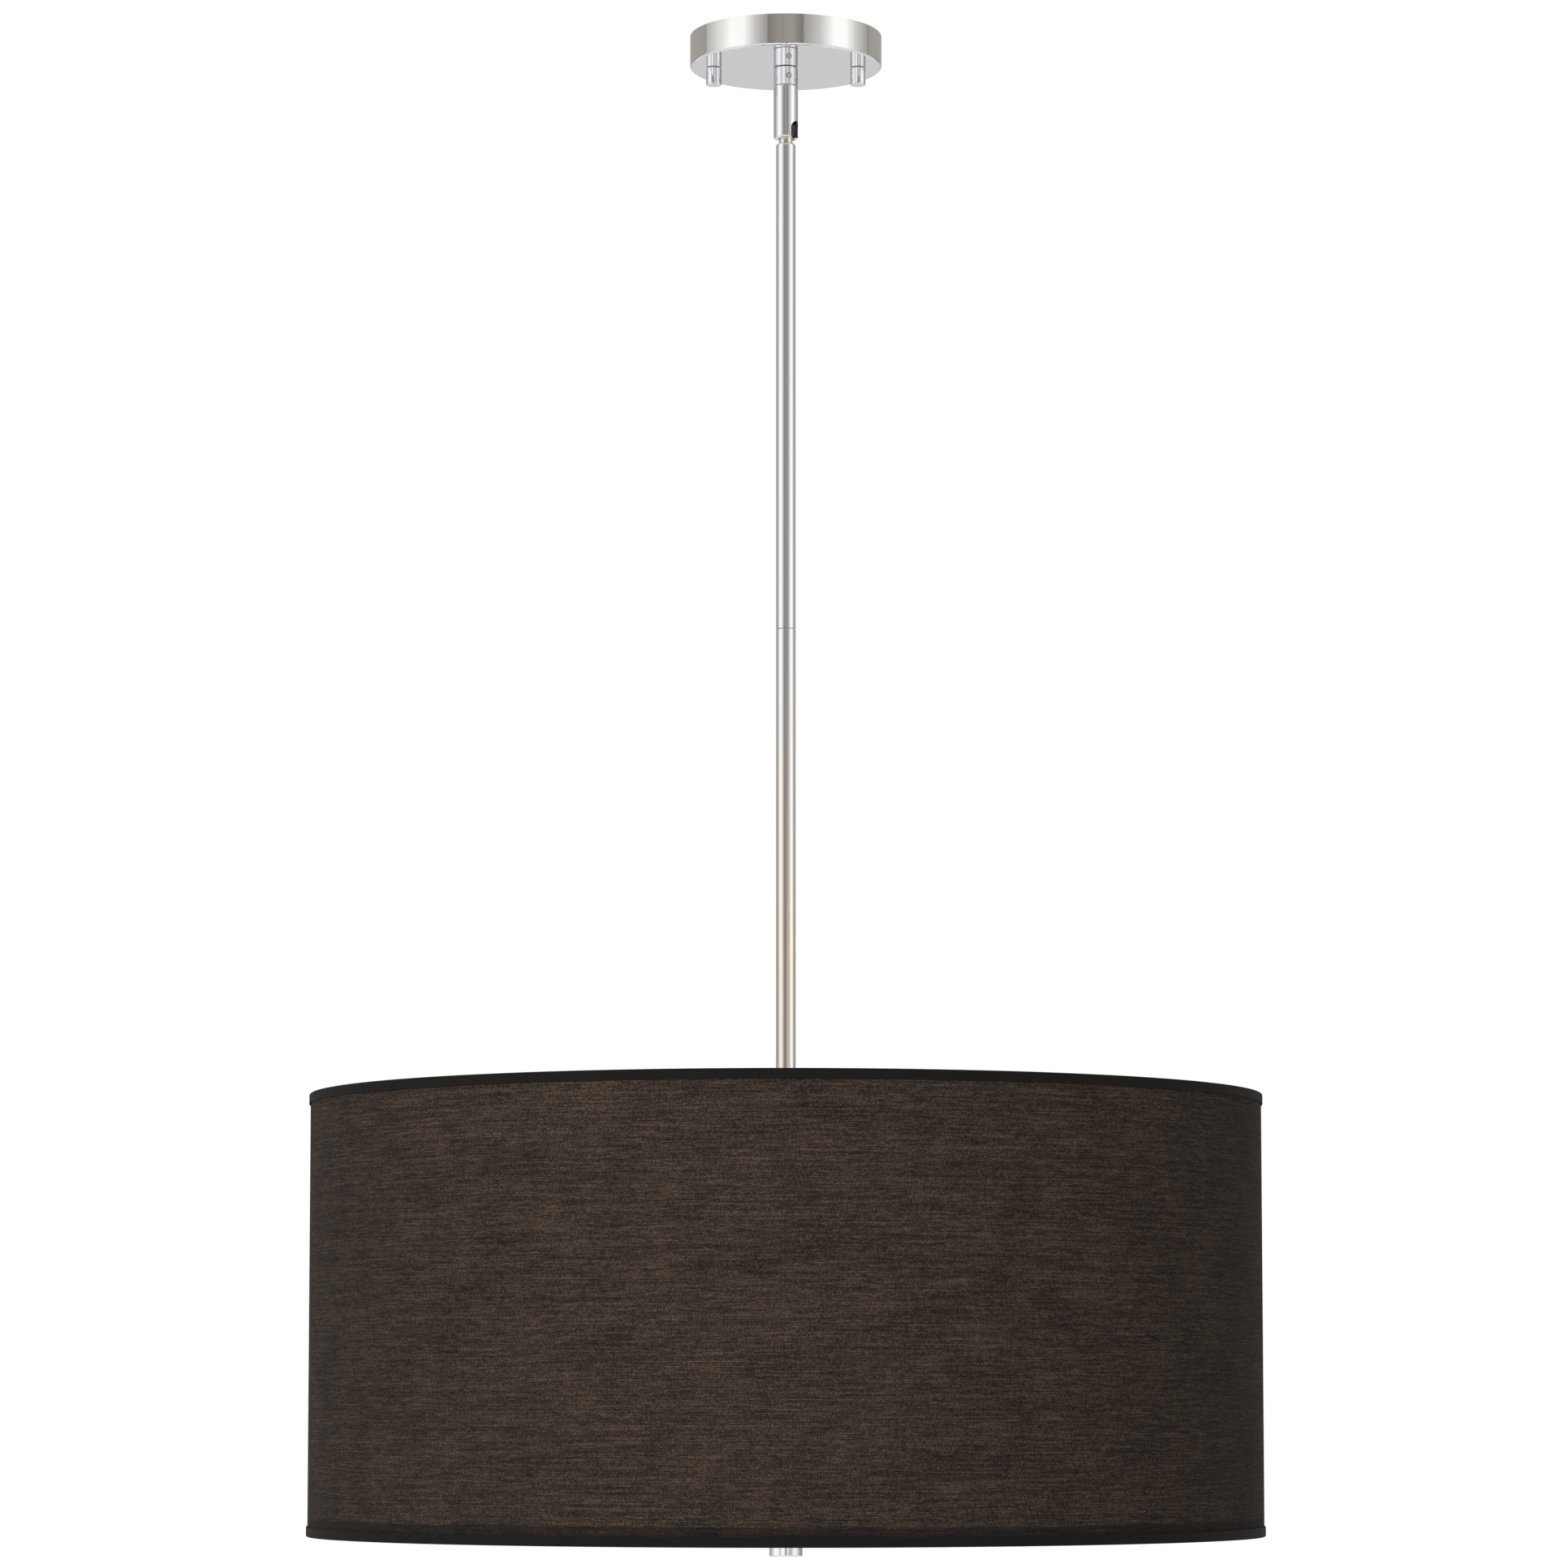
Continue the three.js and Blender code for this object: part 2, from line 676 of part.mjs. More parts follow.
function makeArm(i) {
  const start = new THREE.Vector3(0, -(clusterDiameter / 2 - armInside), armHeight);
  const bendStart = new THREE.Vector3(0, -(lampReach - armBend), armHeight);
  const corner = new THREE.Vector3(0, -lampReach, armHeight);
  const bendEnd = new THREE.Vector3(0, -lampReach, armHeight - armBend);
  const end = new THREE.Vector3(0, -lampReach, armEnd);
  const route = new THREE.CurvePath();
  route.add(new THREE.LineCurve3(start, bendStart));
  route.add(new THREE.QuadraticBezierCurve3(bendStart, corner, bendEnd));
  route.add(new THREE.LineCurve3(bendEnd, end));
  const arm = tubeAlong(route, armRadius, armBore / 2, wireSides, armSteps);
  piece("socket_arm_" + (i + 1), chrome, arm.rotateZ(lampAzimuth(i)));
}

function makeSocket(i) {
  const radius = socketDiameter / 2;
  const outline = [
    [armRadius + fitGap, socketTop],
    [radius - socketChamfer, socketTop],
    [radius, socketTop - socketChamfer],
    [radius, socketBottom],
    [radius - socketWall, socketBottom],
    [radius - socketWall, socketCavityTop],
    [armRadius + fitGap, socketCavityTop],
  ];
  const socket = turned(outline, stemSides).translate(0, -lampReach, 0);
  piece("lamp_socket_" + (i + 1), phenolic, socket.rotateZ(lampAzimuth(i)));
}

function makeBulb(i) {
  const radius = bulbDiameter / 2;
  const base = socketDiameter / 2 - socketWall - fitGap;
  const contact = bulbContactDiameter / 2;
  const shoulder = bulbTop - bulbContactHeight;
  const glassTop = socketBottom - bulbBaseShowing;
  const bellyHeight = bulbTop - bulbLength + radius;
  const pull = (glassTop - bellyHeight) * bulbNeckPullShare;
  const neck = new THREE.CubicBezierCurve(
    new THREE.Vector2(base, glassTop),
    new THREE.Vector2(base, glassTop - pull),
    new THREE.Vector2(radius, bellyHeight + pull),
    new THREE.Vector2(radius, bellyHeight),
  );
  const outline = [
    [0, bulbTop],
    [contact, bulbTop],
    [contact, shoulder],
    [base, shoulder],
    ...neck.getPoints(bulbNeckSteps).map((p) => [p.x, p.y]),
    ...arc(0, bellyHeight, radius, 0, -90, cornerSteps + 1).slice(1, -1),
    [0, bulbTop - bulbLength],
  ];
  const bulb = turned(outline, smallSides).translate(0, -lampReach, 0);
  piece("bulb_" + (i + 1), bulbGlass, bulb.rotateZ(lampAzimuth(i)));
}

// Centre rod, diffuser and finial
function makeDiffuser() {
  piece("centre_rod", zincSteel, bar(centreRodRadius, centreRodTop, centreRodBottom, smallSides));
  piece("rod_nut_upper", brass, hexNut(rodNutFlats, centreRodHole, upperNutTop, rodNutHeight));
  piece("rod_nut_lower", brass, hexNut(rodNutFlats, centreRodHole, coverBottom - fitGap, rodNutHeight));
  piece("stop_nut", brass, hexNut(rodNutFlats, centreRodHole, stopNutTop, rodNutHeight));
  const plateRadius = plateWasherDiameter / 2;
  const stopWasher = sleeve(plateRadius, centreRodHole, stopWasherTop, diffuserTop + fitGap, stemSides);
  piece("stop_washer", zincSteel, stopWasher);
  const plate = sleeve(diffuserRadius, centreRodHole, diffuserTop, diffuserBottom, shadeSides);
  piece("diffuser", opalAcrylic, plate);
  const washerBottom = finialWasherTop - plateWasherThickness;
  const washer = sleeve(plateRadius, centreRodHole, finialWasherTop, washerBottom, stemSides);
  piece("finial_washer", chrome, washer);
}

function makeFinial() {
  const radius = finialDiameter / 2;
  const boreTop = finialTop - finialBoreDepth;
  const outline = [
    [0, finialBottom],
    ...roundedFoot(radius, finialBottom, finialEdgeRadius, cornerSteps),
    [radius, finialTop],
    [centreRodHole, finialTop],
    [centreRodHole, boreTop],
    [0, boreTop],
  ];
  piece("finial", chrome, turned(outline, 2 * smallSides));
}

// Wiring
function makeLead(name, material, startAngle, points) {
  const radius = leadCircle / 2;
  const start = [radius * Math.cos(startAngle), radius * Math.sin(startAngle)];
  const foot = ballCentre + ballRadius + leadClearOfBall;
  const route = [
    new THREE.Vector3(...start, foot),
    new THREE.Vector3(...start, (foot + swivelNippleTop) / 2),
    new THREE.Vector3(...start, swivelNippleTop),
    new THREE.Vector3(...start, swivelNippleTop + leadDiameter),
    ...points.map((p) => new THREE.Vector3(...p)),
  ];
  const curve = new THREE.CatmullRomCurve3(route, false, "centripetal");
  piece(name, material, tubeAlong(curve, leadDiameter / 2, 0, wireSides, leadSteps));
}

function makeWireNut(name, side) {
  const mouth = wireNutDiameter / 2;
  const tip = wireNutTipDiameter / 2;
  const bore = wireNutBore / 2;
  const outline = [
    [bore, 0],
    [mouth, 0],
    [tip, wireNutLength],
    [0, wireNutLength],
    [0, wireNutBoreDepth],
    [bore, wireNutBoreDepth],
  ];
  const nut = turned(outline, smallSides).rotateX((-side * Math.PI) / 2);
  const height = canopyFloor + fitGap + mouth;
  piece(name, wireNutPlastic, nut.translate(wireNutSide, side * wireNutReach, height));
}

function makeWiring() {
  const cordTop = ballCentre + ballRadius - leadClearOfBall;
  const cordBottom = clusterPipeBottom - cordBelowPipe;
  piece("stem_cord", blackInsulation, bar(cordDiameter / 2, cordTop, cordBottom, smallSides));
  const crest = swivelNippleTop + leadBend;
  const nutHeight = canopyFloor + fitGap + wireNutDiameter / 2;
  const leadEnds = { hot: 1, neutral: -1 };
  const leadColours = { hot: blackInsulation, neutral: whiteInsulation };
  for (const [name, side] of Object.entries(leadEnds)) {
    const points = [
      [leadBend, side * leadBend, crest],
      [wireNutSide, side * (wireNutReach - 2 * leadBend), (crest + nutHeight) / 2],
      [wireNutSide, side * (wireNutReach - leadBend / 2), nutHeight],
      [wireNutSide, side * (wireNutReach + wireNutBoreDepth - fitGap), nutHeight],
    ];
    makeLead("canopy_lead_" + name, leadColours[name], (side * Math.PI) / 3, points);
    makeWireNut("wire_nut_" + name, side);
  }
  const headMiddle = -crossbarThickness - fitGap - groundHeadHeight / 2;
  const headSide = -groundScrewOffset + groundHeadDiameter / 2 + fitGap;
  const groundRoute = [
    [-leadBend, 0, (crest + swivelNippleTop) / 2],
    [headSide + leadDiameter, 0, headMiddle],
    [headSide, 0, headMiddle],
  ];
  makeLead("ground_lead", greenInsulation, Math.PI, groundRoute);
}

makeCrossbar();
makeGroundScrew();
makeCanopyFixing("left", -studSpacing / 2);
makeCanopyFixing("right", studSpacing / 2);
makeCanopy();
makeSwivelNipple();
makeCollar();
makeHousing();
makeBallStud();
makeRods();
makeSpider();
makeShade();
makeCluster();
for (let i = 0; i < lampCount; i += 1) {
  makeArm(i);
  makeSocket(i);
  makeBulb(i);
}
makeDiffuser();
makeFinial();
makeWiring();

export default chandelier;
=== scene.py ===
import json
import math

import bmesh
import bpy
from mathutils import Matrix, Vector


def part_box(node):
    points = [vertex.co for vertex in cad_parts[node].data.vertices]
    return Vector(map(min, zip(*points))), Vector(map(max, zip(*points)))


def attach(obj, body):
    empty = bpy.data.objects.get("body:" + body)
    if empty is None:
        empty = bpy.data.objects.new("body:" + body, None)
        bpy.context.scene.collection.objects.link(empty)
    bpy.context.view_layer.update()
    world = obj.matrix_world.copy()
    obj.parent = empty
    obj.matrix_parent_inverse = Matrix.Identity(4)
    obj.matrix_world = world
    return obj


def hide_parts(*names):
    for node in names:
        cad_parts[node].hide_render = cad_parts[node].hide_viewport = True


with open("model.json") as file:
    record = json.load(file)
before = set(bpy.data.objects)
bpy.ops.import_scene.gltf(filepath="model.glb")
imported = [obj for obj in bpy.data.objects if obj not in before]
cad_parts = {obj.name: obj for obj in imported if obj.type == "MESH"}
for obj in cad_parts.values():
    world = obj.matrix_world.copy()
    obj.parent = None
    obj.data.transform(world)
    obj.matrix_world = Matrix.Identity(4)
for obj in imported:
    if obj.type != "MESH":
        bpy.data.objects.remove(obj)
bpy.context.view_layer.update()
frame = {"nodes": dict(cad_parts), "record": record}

bl_info = {
    "name": "Drum chandelier",
    "version": (1, 0, 0),
    "blender": (4, 5, 0),
    "location": "3D View > Sidebar > Chandelier",
    "description": "Makes and finishes every piece of a drum chandelier round its packed frame",
    "category": "Add Mesh",
}

# Lengths are in metres; MM turns a maker's millimetres into them
MM = 0.001
FULL_TURN = 2 * math.pi

# How finely round things are made
DRUM_STEPS = 256
PAN_STEPS = 192
ROD_STEPS = 96
SMALL_STEPS = 48
WIRE_STEPS = 20
STAGE_STEPS = 128
FILLET_STEPS = 4
SHOWN_FILLET_STEPS = 6
FINE_FILLET_STEPS = 8
SEAT_STEPS = 8
BALL_STEPS = 32
BEND_STEPS = 16
NECK_STEPS = 24
BELLY_STEPS = 20
LEAD_STEPS = 8
CLOTH_ROWS = 8
THREAD_POINTS = 4
SHARP_ANGLE = math.radians(35)

# Roundings that many pieces share
BROKEN_EDGE = 0.2 * MM
EASED_EDGE = 0.3 * MM
BORE_EDGE = 0.1 * MM

# How far cutting tools pass through a piece, and how near counts as the same place
OVERRUN = MM
CLOSE = MM / 100

# From the drum's outside to the middle of its fabric
CLOTH_INSET = 0.4 * MM

# Shares of the sizes that they follow
NUT_FACE_SHARE = 0.94
NUT_CORNER_SHARE = 0.55
ARM_START_SHARE = 0.6
BEND_SHARE = 0.3
ARM_TOP_SHARE = 0.6
WELD_SHARE = 0.5
NECK_PULL_SHARE = 0.45
RIBS_START_SHARE = 0.3
TIP_START_SHARE = 0.9
RIB_SHARE = 0.07

# Numbers of like features
SPIDER_ARMS = 3
KEY_SIDES = 6
RIBS = 12
LAMPS = range(1, 5)
SIDES = ("left", "right")

# Plain white light, and the width of the camera's frame
WHITE = (1, 1, 1, 1)
FILM_WIDTH = 36 * MM

# Where each CAD node belongs
RECORD = frame["record"]
BODY_OF = {node: body for body, nodes in RECORD["behaviour"]["bodies"].items() for node in nodes}
SLOT_OF = {row["node"]: row["material_slot"] for row in RECORD["subparts"]}


def box_of(node):
    """The low and the high corner of a node's box."""
    return [Vector(corner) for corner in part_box(node)]


class Span:
    """Where an upright round node stands: its axis, its reach to the side, its bottom and its top."""

    def __init__(self, node):
        low, high = box_of(node)
        self.x = (low.x + high.x) / 2
        self.y = (low.y + high.y) / 2
        self.radius = (high.x - low.x) / 2
        self.bottom = low.z
        self.top = high.z


# Settings

def length(name, description, millimetres):
    return bpy.props.FloatProperty(
        name=name, description=description, default=millimetres * MM, unit="LENGTH", precision=5
    )


def amount(name, description, value):
    return bpy.props.FloatProperty(name=name, description=description, default=value, precision=3)


def turn(name, description, degrees):
    return bpy.props.FloatProperty(
        name=name, description=description, default=math.radians(degrees), subtype="ANGLE"
    )


def colour(name, description, red, green, blue):
    """A colour setting, given as the 0 to 255 numbers that a screen shows."""
    values = [screen_to_light(value / 255) for value in (red, green, blue)]
    return bpy.props.FloatVectorProperty(
        name=name, description=description, default=values, size=3, min=0, max=1, subtype="COLOR"
    )


def screen_to_light(value):
    """A screen tone from 0 to 1 as the amount of light that it stands for."""
    return value / 12.92 if value <= 0.04045 else ((value + 0.055) / 1.055) ** 2.4


class FixingSizes(bpy.types.PropertyGroup):
    bar_corner: length("Crossbar corner", "Radius of the crossbar's corners", 4)
    bar_edge: length("Crossbar edge", "Rounding of the crossbar's edges", 0.2)
    slot_width: length("Slot width", "Width of the slots for the ceiling box's screws", 4.8)
    slot_inner: length("Slot start", "From the middle to the near end of a slot", 22)
    slot_outer: length("Slot end", "From the middle to the far end of a slot", 39)
    stud_radius: length("Stud radius", "Radius of the canopy studs", 2)
    stud_gap: length("Stud clearance", "Clearance round a stud", 0.3)
    stud_pitch: length("Stud pitch", "Pitch of a stud's thread", 0.7)
    stud_thread: length("Stud thread", "Depth of a stud's thread", 0.3)
    nut_flats: length("Nut flats", "Width of the stud nuts across flats", 7)
    knob_edge: length("Knob edge", "Rounding of a knob's lower edge", 1.1)
    knob_rim: length("Knob rim", "Rounding of a knob's upper edge", 0.15)
    ground_shank: length("Ground screw shank", "Radius of the ground screw's shank", 1.8)
    ground_head: length("Ground screw head", "Height of the ground screw's head", 3)
    ground_crown: length("Ground screw crown", "Rounding of the ground screw's head", 0.9)
    recess_radius: length("Recess radius", "Radius of the recess in the ground screw's head", 1.6)
    recess_flare: length("Recess flare", "How much wider the recess is at its mouth", 0.2)
    recess_depth: length("Recess depth", "Depth of the recess", 0.6)


class CanopySizes(bpy.types.PropertyGroup):
    wall: length("Wall", "Thickness of the pan's metal", 0.9)
    edge: length("Edge", "Outer rounding between the rim and the underside", 1.65)
    inner_edge: length("Inner edge", "Inner rounding between the rim and the floor", 0.75)


class SwivelSizes(bpy.types.PropertyGroup):
    pipe_radius: length("Pipe radius", "Radius of the threaded pipe", 4.75)
    pipe_bore: length("Pipe bore", "Radius of the pipe's bore", 3.2)
    pipe_hole: length("Pipe hole", "Radius of the holes round the pipe", 5.05)
    pipe_pitch: length("Pipe pitch", "Pitch of the pipe's thread", 1)
    pipe_thread: length("Pipe thread", "Depth of the pipe's thread", 0.3)
    pipe_flats: length("Pipe nut flats", "Width of the pipe's nuts across flats", 14)
    flange: length("Flange", "Thickness of the flange on the swivel's nipple", 2.2)
    web: length("Web", "Thickness of the housing's top", 3)
    # A thin dark coat inside the housing, which is painted shade in the hollow round the ball
    shade_lining: length("Lining", "Thickness of the dark lining round the ball", 0.15)
    foot: length("Foot", "Rounding of the housing's lower end", 3.2)
    ring_edge: length("Ring edge", "Rounding of the collar's edges and the housing's upper edge", 0.25)
    ball_radius: length("Ball radius", "Radius of the ball", 6.3)
    ball_gap: length("Ball clearance", "Clearance between ball and housing", 0.3)
    ball_rise: length("Ball height", "From the housing's lower end to the ball's centre", 6.55)
    slot_radius: length("Slot radius", "Half the width of the housing's slot", 4.75)
    slot_azimuth: turn("Slot direction", "Where the slot faces, from the front towards the right", 62)
    screw_azimuth: turn("Screw direction", "Where the set screw faces, measured like the slot's", 14.6)
    screw_drop: length("Screw drop", "From the canopy's underside down to the set screw", 6.4)
    screw_radius: length("Screw radius", "Radius of the set screw", 1.6)
    screw_gap: length("Screw clearance", "Clearance round the set screw", 0.25)
    key_radius: length("Key radius", "Radius of the set screw's key hole", 0.85)
    key_depth: length("Key depth", "Depth of the set screw's key hole", 1)
    neck_radius: length("Neck radius", "Radius of the ball stud's neck", 4.4)
    neck_shown: length("Neck shown", "Length of neck under the housing", 3)
    shoulder: length("Shoulder", "Rounding of the ball stud's shoulder", 1.75)
    wire_bore: length("Wire bore", "Radius of the wire hole through the ball", 2.6)
    stud_socket: length("Pipe socket", "Depth of the pipe's hole in the ball stud", 8.7)


class RodSizes(bpy.types.PropertyGroup):
    bore: length("Bore", "Radius of a rod's bore", 5.05)
    end_edge: length("End edge", "Rounding of a rod's ends", 0.15)
    top_gap: length("Top gap", "What is left between the upper rod and the barrel of the ball stud", 0.03)
    mark_rise: length("Mark height", "From the joint up to the turned mark on the upper rod", 4.6)
    mark_width: length("Mark width", "Width of the turned mark", 0.5)
    mark_depth: length("Mark depth", "Depth of the turned mark", 0.05)


class ShadeSizes(bpy.types.PropertyGroup):
    cloth: length("Cloth thickness", "Thickness of the woven fabric", 0.55)
    lap: length("Lap", "How far the fabric's ends lap at the back", 12)
    lap_run: length("Lap run", "Over what length an end of the fabric rises or sinks at the lap", 8)
    lap_air: length("Lap air", "Half the air between the two layers of the lap", 0.03)
    hem: length("Hem thickness", "Thickness of the hem's folded tape", 0.5)
    hem_fold: length("Hem fold", "How far the hem's tape reaches along the inside", 2.4)
    hem_gap: length("Hem clearance", "Clearance between the ring's wire and the tape inside it", 0.3)
    hem_edge: length("Hem edge", "Outer rounding of the folds in the tape", 0.9)
    hem_crease: length("Hem crease", "Inner rounding of the folds in the tape", 0.4)
    liner: length("Liner thickness", "Thickness of the styrene liner", 0.8)
    wire: length("Wire radius", "Radius of the wire of the rings and arms", 2)
    hub_radius: length("Hub radius", "Radius of the spider's hub", 20)
    hub_depth: length("Hub thickness", "Thickness of the spider's hub", 2.5)
    hub_edge: length("Hub edge", "Rounding of the hub's edges", 0.6)
    bend_start: length("Bend start", "From the ring in to where a spider arm starts to rise", 8)
    bend_middle: length("Bend middle", "From the ring in to the middle of an arm's bend", 3)
    weld_in: length("Weld inside", "How far a weld reaches in from the ring's wire", 2.5)
    weld_out: length("Weld outside", "How far a weld reaches out from the ring's wire", 1.5)
    weft_pitch: length("Weft pitch", "Distance between the threads that go round the drum", 0.72)
    warp_pitch: length("Warp pitch", "Distance between the upright threads", 0.9)
    waver: length("Waver", "How far a thread strays from a straight line", 1.2)
    thread_relief: length("Thread relief", "Height of a thread's crown", 0.07)
    # How far above the bottom hem the fabric stays darker
    band_rise: length("Tape under", "How far above the bottom hem its tape darkens the fabric", 5)


class LampSizes(bpy.types.PropertyGroup):
    body_wall: length("Body wall", "Thickness of the cluster body's metal", 1.3)
    body_edge: length("Body edge", "Rounding of the cluster body's upper edge", 1.3)
    cover_plate: length("Cover plate", "Thickness of the cluster's cover", 2)
    cover_lip: length("Cover lip", "Thickness of the cover's lip", 1.5)
    cover_gap: length("Cover clearance", "Clearance between the body and the cover's lip", 0.3)
    cover_edge: length("Cover edge", "Rounding of the cover's lower edge", 0.6)
    arm_radius: length("Arm radius", "Radius of the socket arms", 4)
    arm_bore: length("Arm bore", "Radius of the bore of the socket arms", 2.8)
    arm_start: length("Arm start", "From the middle to the inner end of an arm", 30)
    arm_bend: length("Arm bend", "Length of an arm's bend each way", 20)
    arm_gap: length("Arm clearance", "Clearance round an arm", 0.3)
    socket_radius: length("Socket radius", "Outer radius of a lamp socket", 17)
    socket_wall: length("Socket wall", "Thickness of a lamp socket's wall", 3.2)
    socket_depth: length("Socket depth", "Depth of a lamp socket's mouth", 26)
    socket_chamfer: length("Socket chamfer", "Chamfer at the top of a lamp socket", 3)
    socket_edge: length("Socket edge", "Rounding of the chamfer's edges", 0.6)
    socket_foot: length("Socket foot", "Outer rounding of a socket's lower end", 0.7)
    socket_mouth: length("Socket mouth", "Inner rounding of a socket's lower end", 0.4)
    groove_rise: length("Groove height", "From the inner end of a socket's mouth up to its groove", 3)
    groove_width: length("Groove width", "Width of the groove round a socket", 1.2)
    groove_depth: length("Groove depth", "Depth of the groove", 0.5)
    groove_slope: length("Groove slope", "Height of each of the groove's sloping sides", 0.3)
    bulb_radius: length("Bulb radius", "Radius of a bulb at its widest", 30)
    base_radius: length("Base radius", "Radius of a bulb's screw base", 13.5)
    base_shown: length("Base shown", "Length of a bulb's base under the socket", 1.3)
    base_plain: length("Plain base", "Length of a base without thread, from the socket's end up", 2)
    base_pitch: length("Base pitch", "Pitch of a base's thread", 3.6)
    base_thread: length("Base thread", "Depth of a base's thread", 0.8)
    contact_radius: length("Contact radius", "Radius of a bulb's end contact", 5)
    contact_height: length("Contact height", "Height of a bulb's end contact", 1.5)
    contact_edge: length("Contact edge", "Rounding of a bulb's end contact", 0.8)


class RodAndFinialSizes(bpy.types.PropertyGroup):
    rod_gap: length("Rod clearance", "Clearance round the centre rod", 0.3)
    rod_pitch: length("Rod pitch", "Pitch of the centre rod's thread", 1)
    rod_thread: length("Rod thread", "Depth of the centre rod's thread", 0.35)
    nut_flats: length("Nut flats", "Width of the centre rod's nuts across flats", 10)
    washer_edge: length("Washer edge", "Rounding of the washers' edges", 0.3)
    diffuser_edge: length("Diffuser edge", "Rounding of the diffuser's edge", 0.7)
    finial_edge: length("Finial edge", "Rounding of the finial's lower edge", 1.2)
    finial_bore: length("Finial bore", "Depth of the finial's threaded hole", 10)


class WiringSizes(bpy.types.PropertyGroup):
    wire: length("Wire radius", "Radius of a lead with its insulation", 0.9)
    lead_circle: length("Lead circle", "From the pipe's axis to the leads in it", 1.7)
    lead_foot: length("Lead foot", "From the ball up to the lower end of the leads", 1)
    lead_crest: length("Lead crest", "How far the leads rise above the pipe", 5)
    lead_spread: length("Lead spread", "How far out the leads are at their crest", 5)
    lead_turn: length("Lead turn", "From a wire nut's mouth to where its lead turns towards it", 10)
    lead_straight: length("Straight lead", "Length of straight lead before a wire nut's mouth", 2.5)
    lead_in_nut: length("Lead in nut", "Length of lead in a wire nut", 5.7)
    ground_gap: length("Ground clearance", "From the ground screw's head to its lead", 0.3)
    cap_radius: length("Cap radius", "Radius of a wire nut at its mouth", 4.5)
    cap_lip: length("Cap lip", "Rounding of a wire nut's mouth", 0.4)
    cap_taper: length("Cap taper", "How much narrower a wire nut is where its ribs start", 0.2)
    cap_tip: length("Cap tip", "Radius of a wire nut's tip", 3)
    cap_tip_flare: length("Cap tip flare", "How much wider a wire nut is where its tip starts", 0.3)
    cap_tip_edge: length("Cap tip edge", "Rounding of a wire nut's tip", 0.8)
    cap_bore: length("Cap bore", "Radius of a wire nut's bore", 1.5)
    cap_bore_depth: length("Cap bore depth", "Depth of a wire nut's bore", 6)


class FinishColours(bpy.types.PropertyGroup):
    chrome: colour("Chrome", "Polished chrome plate", 236, 237, 239)
    nickel: colour("Nickel", "Warm nickel plate", 238, 227, 212)
    zinc: colour("Zinc", "Zinc plated steel", 176, 181, 184)
    brass: colour("Brass", "Plain turned brass", 196, 160, 92)
    green_zinc: colour("Green zinc", "Green dyed zinc", 60, 122, 69)
    fabric: colour("Fabric", "The drum's woven fabric", 52, 45, 40)
    fabric_slub: colour("Light threads", "The lightest threads in the fabric", 98, 82, 69)
    # The darkest threads, and the colour that the painted shade in the gaps between threads goes towards
    fabric_darkest_and_gap_shade: colour("Dark threads", "The darkest threads in the fabric", 22, 21, 21)
    hem: colour("Hem", "Folded tape at the drum's edges", 24, 23, 22)
    styrene: colour("Styrene", "The drum's liner", 236, 230, 220)
    enamel: colour("Enamel", "Powder coat on the wire frame", 232, 232, 228)
    opal: colour("Opal", "The diffuser", 242, 240, 233)
    phenolic: colour("Phenolic", "The lamp sockets", 42, 40, 38)
    bulb: colour("Bulb", "The bulbs' soft white coat", 246, 243, 235)
    wire_nut: colour("Wire nut", "The wire nuts", 200, 112, 42)
    black_wire: colour("Black wire", "Black insulation", 26, 26, 26)
    white_wire: colour("White wire", "White insulation", 226, 224, 218)
    green_wire: colour("Green wire", "Green insulation", 62, 140, 78)


class StudioSettings(bpy.types.PropertyGroup):
    floor_drop: length("Floor drop", "From the ceiling face down to the floor", 2300)
    floor_radius: length("Floor radius", "Radius of the floor", 14000)
    wall_radius: length("Wall radius", "Radius of the ring of panels that the metal reflects", 6000)
    wall_top: length("Wall top", "Top of the ring of panels", 5000)
    lens: length("Lens", "Focal length for a 36 mm wide frame", 126.17)
    camera_distance: length("Camera distance", "From the lamp's axis to the camera", 3525)
    camera_side: length("Camera side", "How far the camera stands to the right", -1.2)
    camera_height: length("Camera height", "Height of the camera, from the ceiling face", -890)
    camera_pitch: turn("Camera pitch", "How far the camera looks up", 5.39)
    camera_shift: amount("Camera shift", "Upward shift of the frame, in frame widths", 0.065)
    light_distance: length("Light distance", "From the lamp's axis to the soft lights", 3000)
    light_size: length("Light size", "Diameter of the soft lights", 1800)
    light_aim: length("Light aim", "How far below the ceiling face the lights aim", 600)
    front_azimuth: turn("Front light", "Direction of the soft light in front, towards the right", 0)
    front_power: amount("Front power", "Power of the soft light in front, in watts", 68)
    side_azimuth: turn("Side light", "Direction of the soft light on the left, towards the right", -66)
    side_power: amount("Side power", "Power of the soft light on the left, in watts", 34)
    back_azimuth: turn("Back light", "Direction of the soft light behind, towards the right", 170)
    back_power: amount("Back power", "Power of the soft light behind, in watts", 50)
    ambient: amount("Ambient", "Light from all round", 0.07)


SETTINGS = {
    "fixings": FixingSizes,
    "canopy": CanopySizes,
    "swivel": SwivelSizes,
    "rods": RodSizes,
    "shade": ShadeSizes,
    "lamps": LampSizes,
    "finial": RodAndFinialSizes,
    "wiring": WiringSizes,
    "colours": FinishColours,
    "studio": StudioSettings,
}


def setting(name):
    return getattr(bpy.context.scene, "chandelier_" + name)


# Outlines and meshes

